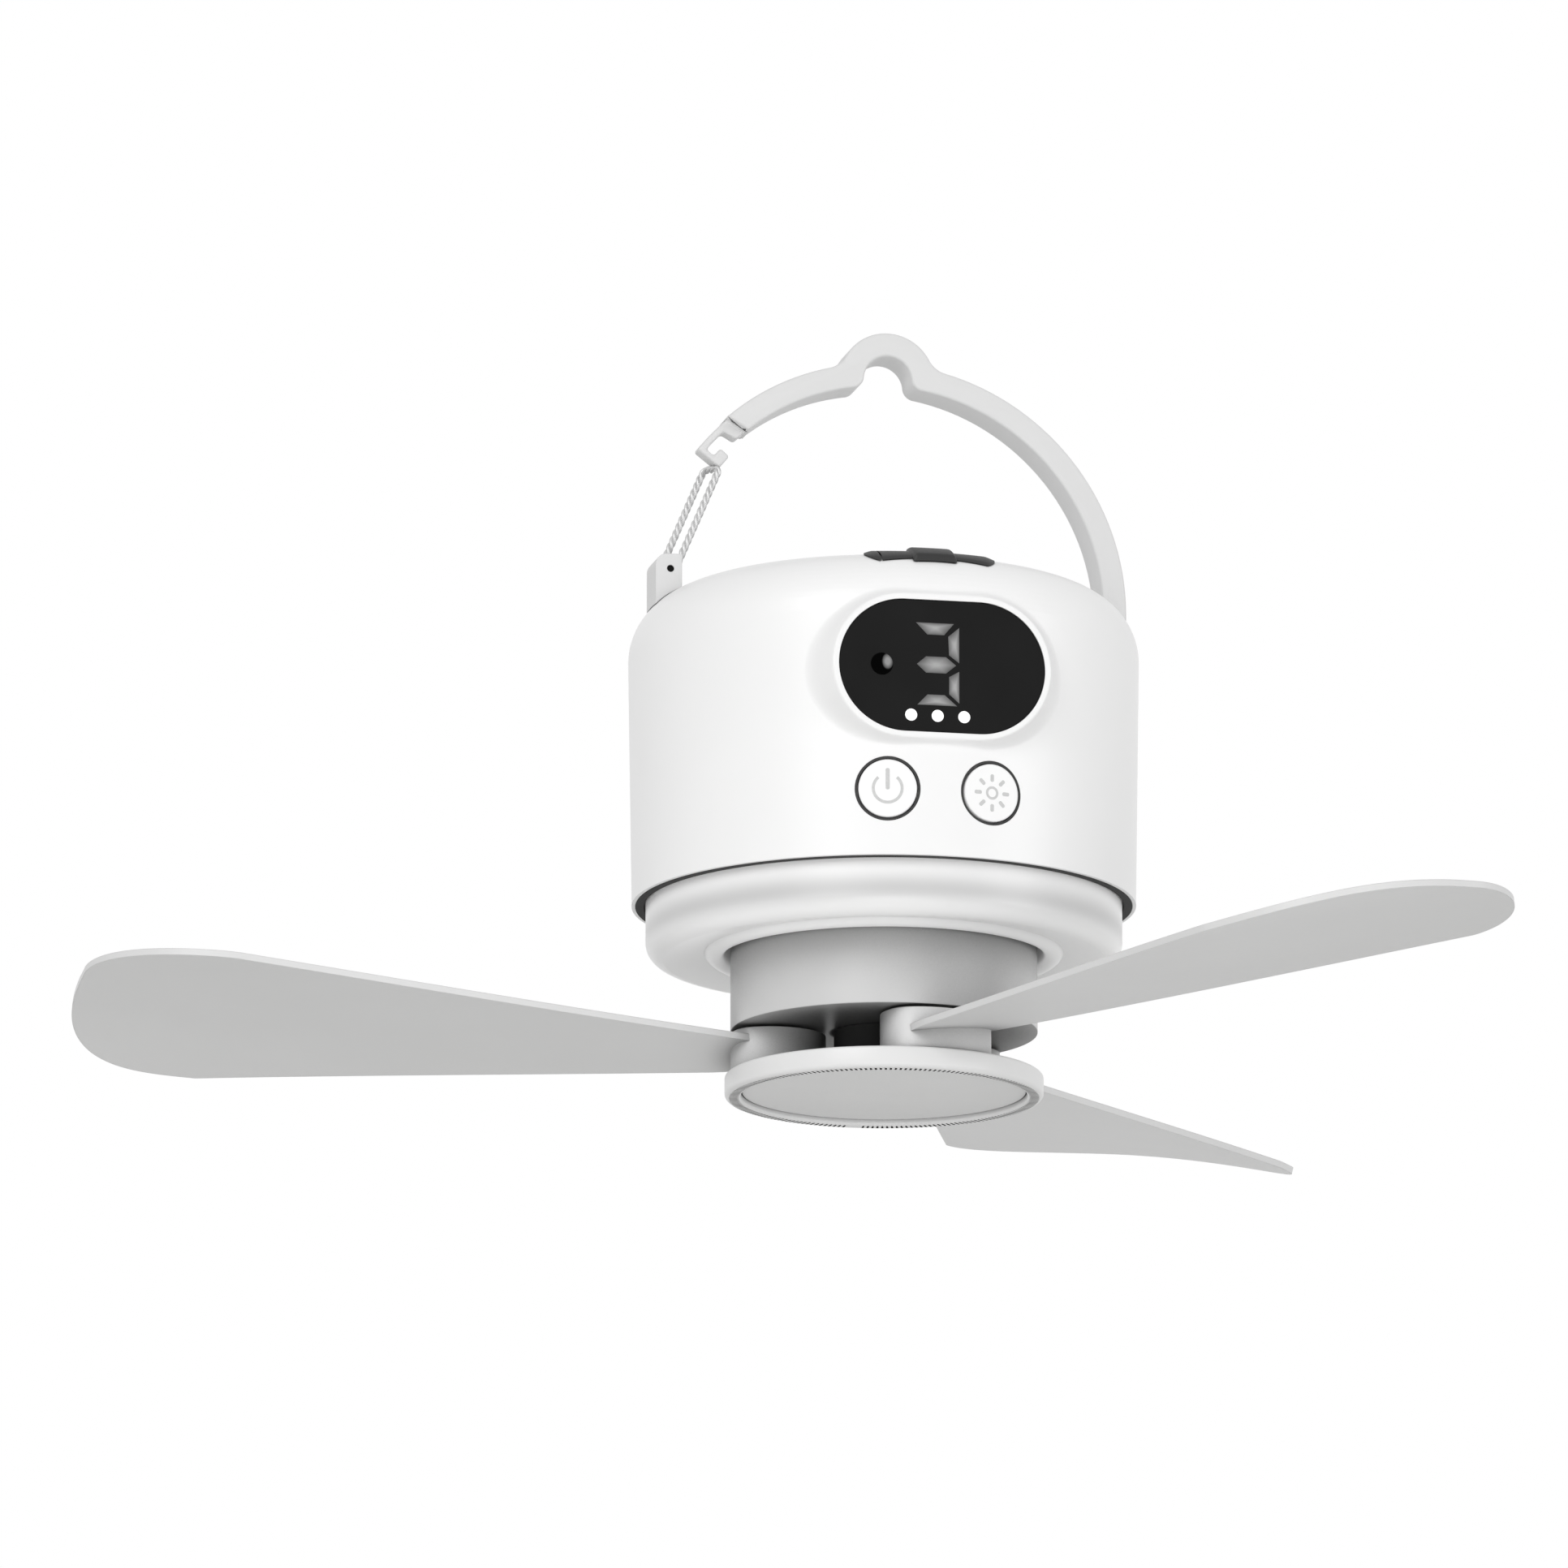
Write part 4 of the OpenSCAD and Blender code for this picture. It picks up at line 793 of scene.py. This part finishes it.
# ---------- light ring ----------
# White boards and small yellow phosphor diodes behind a diffuser of opal
# polycarbonate, which is clipped into a groove of the base plate.
white_board = solder_mask("white_solder_mask", "#e6e6e2", "#f0f0ec")
dress(white_board, "led_board")
phosphor, tree, shader = blank("phosphor_silicone", {"Roughness": 0.45})
where = add(tree, "TexCoord").outputs["Object"]
grains = add(tree, "TexNoise", {"Scale": 1 / (0.4 * MM), "Detail": 3.0}, {"Vector": where})
mix = add(tree, "Mix", {"data_type": "RGBA", 6: tone("#e3cf57"), 7: tone("#f0e27a")},
          {0: grains.outputs[0]})
tree.links.new(mix.outputs[2], shader.inputs["Base Color"])
dress(phosphor, "light_diodes")
# The diffuser has a painted glow: a weak white emission, though the lamp is off.
opal = moulded("moulded_opal_polycarbonate", "#f0f0f0", "#f4f4f4", 0.32, 0.8, 0.01, 0.4,
               **{"Subsurface Weight": 0.3, "Subsurface Radius": (0.004, 0.004, 0.004),
                  "Subsurface Scale": 1.0, "Emission Color": tone("#ffffff"),
                  "Emission Strength": 0.07})
# A soft band where the wall turns under is painted greyer: painted shade, where less light comes
# through.
band_z, band_half = -127.0, 5.5
tree = opal.node_tree
shader = tree.nodes["Principled BSDF"]
base = shader.inputs["Base Color"].links[0].from_socket
where = add(tree, "SeparateXYZ", {}, {0: add(tree, "TexCoord").outputs["Object"]})
off = add(tree, "Math", {"operation": "ADD", 1: -band_z * MM}, {0: where.outputs["Z"]})
off = add(tree, "Math", {"operation": "ABSOLUTE"}, {0: off.outputs[0]})
band = add(tree, "MapRange", {"interpolation_type": "SMOOTHSTEP", "From Max": band_half * MM,
                              "To Min": 0.6, "To Max": 1.0}, {"Value": off.outputs[0]})
grey = add(tree, "Mix", {"data_type": "RGBA", "blend_type": "MULTIPLY", 0: 1.0},
           {6: base, 7: band.outputs[0]})
tree.links.new(grey.outputs[2], shader.inputs["Base Color"])
dress(opal, "light_diffuser")

# A thin seal of black foam rubber, stuck under the shell's lower edge. Its black also stands in for
# the shade in the gap along that edge.
seal_outer, seal_inner, seal_t, seal_drop = 55.6, 53.7, 0.1, 0.06
seal = move_mesh(flat_ring(seal_outer, seal_inner, sides=192),
                 Matrix.Translation((0, 0, body_bottom - seal_drop)))
seal.name = "rim_seal_and_shade"
thicken(seal, seal_t)
seal_foam_and_shade = moulded("black_foam_rubber_and_shade", "#303030", "#3a3a3a", 0.9, 0.4, 0.05, 0.1)
seal.data.materials.append(seal_foam_and_shade)
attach(seal, "housing")

# ---------- motor ----------
# An outrunner: the stator is pressed over a tube of the die-cast mount, and
# the shaft turns in two ball bearings inside that tube.
cast, tree, shader = blank("die_cast_aluminium", {"Metallic": 1.0, "Roughness": 0.45})
where = add(tree, "TexCoord").outputs["Object"]
skin = add(tree, "TexNoise", {"Scale": 1 / (1.2 * MM), "Detail": 6.0, "Roughness": 0.65},
           {"Vector": where})
mix = add(tree, "Mix", {"data_type": "RGBA", 6: tone("#9fa1a3"), 7: tone("#bcbec0")},
          {0: skin.outputs[0]})
bump = add(tree, "Bump", {"Strength": 0.4, "Distance": 0.06 * MM}, {"Height": skin.outputs[0]})
tree.links.new(mix.outputs[2], shader.inputs["Base Color"])
tree.links.new(bump.outputs[0], shader.inputs["Normal"])
dress(cast, "motor_mount")

# Punched sheets stacked 0.5 mm apart: their edges show as level lines.
sheets, tree, shader = blank("stacked_electrical_steel", {"Metallic": 0.9, "Roughness": 0.5})
where = add(tree, "TexCoord").outputs["Object"]
turn = add(tree, "Mapping", {"Rotation": (0, math.radians(90), 0)}, {"Vector": where})
lines = add(tree, "TexWave", {"wave_type": "BANDS", "bands_direction": "X",
                              "Scale": 1 / (0.5 * MM) / 20}, {"Vector": turn.outputs[0]})
mix = add(tree, "Mix", {"data_type": "RGBA", 6: tone("#4c4d50"), 7: tone("#85878a")},
          {0: lines.outputs["Color"]})
bump = add(tree, "Bump", {"Strength": 0.5, "Distance": 0.05 * MM}, {"Height": lines.outputs["Fac"]})
tree.links.new(mix.outputs[2], shader.inputs["Base Color"])
tree.links.new(bump.outputs[0], shader.inputs["Normal"])
dress(sheets, "stator_core")

# Enamelled copper wire wound in layers, 0.6 mm from turn to turn.
copper, tree, shader = blank("enamelled_copper_wire", {"Metallic": 0.85, "Roughness": 0.3})
where = add(tree, "TexCoord").outputs["Object"]
turns = add(tree, "TexWave", {"wave_type": "RINGS", "rings_direction": "Z",
                              "Scale": 1 / (0.6 * MM) / 20, "Distortion": 0.6}, {"Vector": where})
mix = add(tree, "Mix", {"data_type": "RGBA", 6: tone("#7c3b18"), 7: tone("#c8753c")},
          {0: turns.outputs["Color"]})
bump = add(tree, "Bump", {"Strength": 0.7, "Distance": 0.15 * MM}, {"Height": turns.outputs["Fac"]})
tree.links.new(mix.outputs[2], shader.inputs["Base Color"])
tree.links.new(bump.outputs[0], shader.inputs["Normal"])
dress(copper, "stator_windings")
bearing_steel = plated("ground_bearing_steel", "#b5b7b9", "#cdcfd0", 0.18, 0.3)
dress(bearing_steel, "shaft_bearings")
pin_steel = plated("ground_steel_pin", "#8e8e8e", "#a6a6a6", 0.3, 0.3)
dress(pin_steel, "rotor_shaft", "blade_pins")

# ---------- rotor ----------
# The hub is a grey moulded bell over the motor, with a ring of sintered
# magnets inside. The blades' roots stand between it and the white cap.
# Painted shade darkens it within 26 mm of other parts, as under the diffuser and round the blades'
# roots.
hub_abs = moulded("moulded_grey_abs", "#c6c6c6", "#cccccc", 0.38, 0.7, 0.012, 0.5, 26)
dress(hub_abs, "rotor_hub")
# The post in the middle of the slot is made rough and dull, and its colour is painted nearly black:
# painted shade for the deep shade in the slot.
post_r, post_edge = 11.5, 13
tree = hub_abs.node_tree
shader = tree.nodes["Principled BSDF"]
base = shader.inputs["Base Color"].links[0].from_socket
flat = add(tree, "VectorMath", {"operation": "MULTIPLY", 1: (1, 1, 0)},
           {0: add(tree, "TexCoord").outputs["Object"]})
off = add(tree, "VectorMath", {"operation": "LENGTH"}, {0: flat.outputs[0]})
post = add(tree, "MapRange", {"From Min": post_r * MM, "From Max": post_edge * MM,
                              "To Min": 0.18, "To Max": 1.0}, {"Value": off.outputs["Value"]})
dark = add(tree, "Mix", {"data_type": "RGBA", "blend_type": "MULTIPLY", 0: 1.0},
           {6: base, 7: post.outputs[0]})
tree.links.new(dark.outputs[2], shader.inputs["Base Color"])
dull = add(tree, "MapRange", {"From Min": post_r * MM, "From Max": post_edge * MM,
                              "To Min": 0.95, "To Max": 0.0}, {"Value": off.outputs["Value"]})
dull = add(tree, "Math", {"operation": "MAXIMUM"},
           {0: dull.outputs[0], 1: shader.inputs["Roughness"].links[0].from_socket})
tree.links.new(dull.outputs[0], shader.inputs["Roughness"])
ferrite = moulded("sintered_ferrite", "#2b2b2e", "#3a3a3d", 0.6, 0.3, 0.04)
dress(ferrite, "magnet_ring")
acetal = moulded("moulded_white_acetal", "#ececea", "#f2f2f0", 0.35, 0.5, 0.01)
dress(acetal, "blade_washers")

# The cap is white moulded ABS, with an upright side and small rounded edges.
# Screws through it hold it to the hub, and the disc in its recess hides them.
cap_top, cap_low, cap_r, disc_top, disc_seat = -158.8, -163.8, 35.6, -161.5, 31.95
low_edge, high_edge, seat_edge = 1.1, 0.7, 0.8


def on_ring(p, level, radius):
    """Whether a corner of the cap lies on one of its rings."""
    return abs(p.z - level) < 0.01 and abs(math.hypot(p.x, p.y) - radius) < 0.01


begin()
bpy.ops.mesh.primitive_circle_add(vertices=192, radius=cap_r * MM, location=(0, 0, cap_low * MM))
cap = settle("rotor_cap_moulding")
bpy.ops.object.mode_set(mode="EDIT")
bpy.ops.mesh.select_all(action="SELECT")
bpy.ops.mesh.extrude_edges_move(
    TRANSFORM_OT_translate={"value": (0, 0, (cap_top - cap_low) * MM)})
bpy.ops.mesh.edge_face_add()
pick(cap, "edges", lambda a, b: max(a.z, b.z) < cap_low + 0.01)
bpy.ops.mesh.extrude_edges_move()
shrink(disc_seat / cap_r)
bpy.ops.mesh.extrude_edges_move(
    TRANSFORM_OT_translate={"value": (0, 0, (disc_top - cap_low) * MM)})
bpy.ops.mesh.edge_face_add()
pick(cap, "edges", lambda a, b: on_ring(a, cap_low, cap_r) and on_ring(b, cap_low, cap_r))
bpy.ops.mesh.bevel(offset=low_edge * MM, segments=6, affect="EDGES")
pick(cap, "edges", lambda a, b: on_ring(a, cap_top, cap_r) and b.z > cap_top - 0.01)
bpy.ops.mesh.bevel(offset=high_edge * MM, segments=4, affect="EDGES")
pick(cap, "edges", lambda a, b: on_ring(a, cap_low, disc_seat) and b.z < cap_low + 0.01)
bpy.ops.mesh.bevel(offset=seat_edge * MM, segments=4, affect="EDGES")
bpy.ops.mesh.select_all(action="SELECT")
bpy.ops.mesh.normals_make_consistent(inside=False)
smooth(cap, 35)
# Painted shade darkens it within 4 mm of other parts, as round the disc's recess and under the
# blades' roots.
cap_abs = moulded("moulded_cap_abs", "#e0e0e0", "#e4e4e4", 0.36, 0.7, 0.012, 0.25, 4)
cap.data.materials.append(cap_abs)
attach(cap, "rotor")
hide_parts("rotor_cap")

# A disc of grey foam rubber, glued into the cap's recess: matt, with fine
# closed cells of about 0.2 mm, drawn at 0.5 mm.
disc_r, disc_t, disc_edge = 31.8, 0.9, 0.3
begin()
bpy.ops.mesh.primitive_cylinder_add(vertices=192, radius=disc_r * MM, depth=disc_t * MM,
                                    location=(0, 0, (disc_top - disc_t / 2) * MM))
disc = settle("cap_disc_pad")
pick(disc, "edges", lambda a, b: max(a.z, b.z) < disc_top - disc_t + 0.1)
bpy.ops.mesh.bevel(offset=disc_edge * MM, segments=3, affect="EDGES")
smooth(disc, 35)
# Painted shade darkens it within 6 mm of other parts, most in a ring at the edge of its recess.
foam = moulded("closed_cell_foam_rubber", "#dadada", "#e0e0e0", 0.85, 0.5, 0.06, 0.3, 6)
disc.data.materials.append(foam)
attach(disc, "rotor")
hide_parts("cap_disc")

# ---------- blades ----------
# Three blades of grey moulded ABS, each in one piece with the round block at
# its root, which turns on a steel pin. They are tilted, slightly hollow below,
# and rise towards the tip.
blade_l, lead, trail, blade_t = 156.0, 38.4, 43.4, 1.5
tip_w, root_start, root_lead, root_trail = 8.2, 3.0, 8.8, 11.1
lead_end, trail_end = 0.812 * blade_l, 0.789 * blade_l
pivot_r, plate_z, hub_r = 25.4, -152.8, 34.3
root_low, root_high, root_r, root_blend, bore_r = -158.65, -149.55, 12.4, 4.0, 2.05
first_blade, blade_swing, blade_tilt = 164, 16, math.radians(6.2)
mid_w, half_w, blade_rise, camber = 3.7, 27, 10.2, 1.5


def side_at(u, root_w, wide, end, power):
    """Width to one side: straight at first, then rounded off to the tip."""
    if u <= end:
        return root_w + (wide - root_w) * u / end
    return wide * max(0.0, 1 - ((u - end) / (blade_l - end)) ** power) ** (1 / power)


def blade_spot(a, s):
    """A point of the blade's middle surface, a along it and s across it, both from 0 to 1."""
    if a <= 0.5:
        u = root_start + (trail_end - root_start) * a * 2
    else:
        u = trail_end + (blade_l - trail_end) * 0.9995 * math.sin(math.radians(180 * (a - 0.5)))
    ahead = tip_w + side_at(u, root_lead - tip_w, lead - tip_w, lead_end, 1.9)
    behind = min(root_trail + 0.45 * (u - root_start),
                 side_at(u, root_trail + 0.4 + tip_w, trail + tip_w, trail_end, 3.3) - tip_w)
    w = -behind + (ahead + behind) * s
    out = u / blade_l
    z = ((w - mid_w) * math.sin(blade_tilt) + blade_rise * (0.41 * out + 0.59 * out ** 2)
         - camber * out * ((w - mid_w) / half_w) ** 2)
    return Vector((u, w, z))


def root_reach(angle):
    """How far the root's block reaches from its pin: round, but flush with the hub."""
    flush = math.sqrt(hub_r ** 2 - (pivot_r * math.sin(angle)) ** 2) - pivot_r * math.cos(angle)
    return soften(flush, root_r, root_blend)


# Painted shade darkens them within 16 mm of other parts, as on their root blocks in the slot under
# the hub.
blade_abs = moulded("moulded_blade_abs", "#d6d6d6", "#dbdbdb", 0.42, 0.8, 0.015, 0.3, 16)
swings = (("left_blade", -1.5), ("front_blade", 2.4), ("back_blade", 0.0))
for k, (name, swing) in enumerate(swings):
    turn = Matrix.Rotation(math.radians(first_blade + 120 * k), 4, "Z")
    place = (turn @ Matrix.Translation((pivot_r, 0, plate_z))
             @ Matrix.Rotation(math.radians(blade_swing + swing), 4, "Z"))
    begin()
    bpy.ops.mesh.primitive_grid_add(x_subdivisions=96, y_subdivisions=36, size=1)
    plate = bpy.context.object
    for v in plate.data.vertices:
        v.co = place @ blade_spot(v.co.x + 0.5, v.co.y + 0.5) * MM
    thicken(plate, blade_t)

    begin()
    bpy.ops.mesh.primitive_cylinder_add(vertices=144, radius=MM, depth=(root_high - root_low) * MM)
    block = settle("block")
    for v in block.data.vertices:
        reach = root_reach(math.atan2(v.co.y, v.co.x))
        v.co.x, v.co.y = v.co.x * reach, v.co.y * reach
    move_mesh(block, turn @ Matrix.Translation((pivot_r, 0, (root_high + root_low) / 2)))
    begin()
    bpy.ops.mesh.primitive_cylinder_add(vertices=32, radius=bore_r * MM, depth=30 * MM)
    bore = move_mesh(settle("bore"), turn @ Matrix.Translation((pivot_r, 0, -154)))
    cut(block, [bore])
    join_to(plate, [block])
    blade = settle(name + "_moulding")
    smooth(blade, 40)
    blade.data.materials.clear()
    blade.data.materials.append(blade_abs)
    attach(blade, name)
    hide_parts(name)

begin()
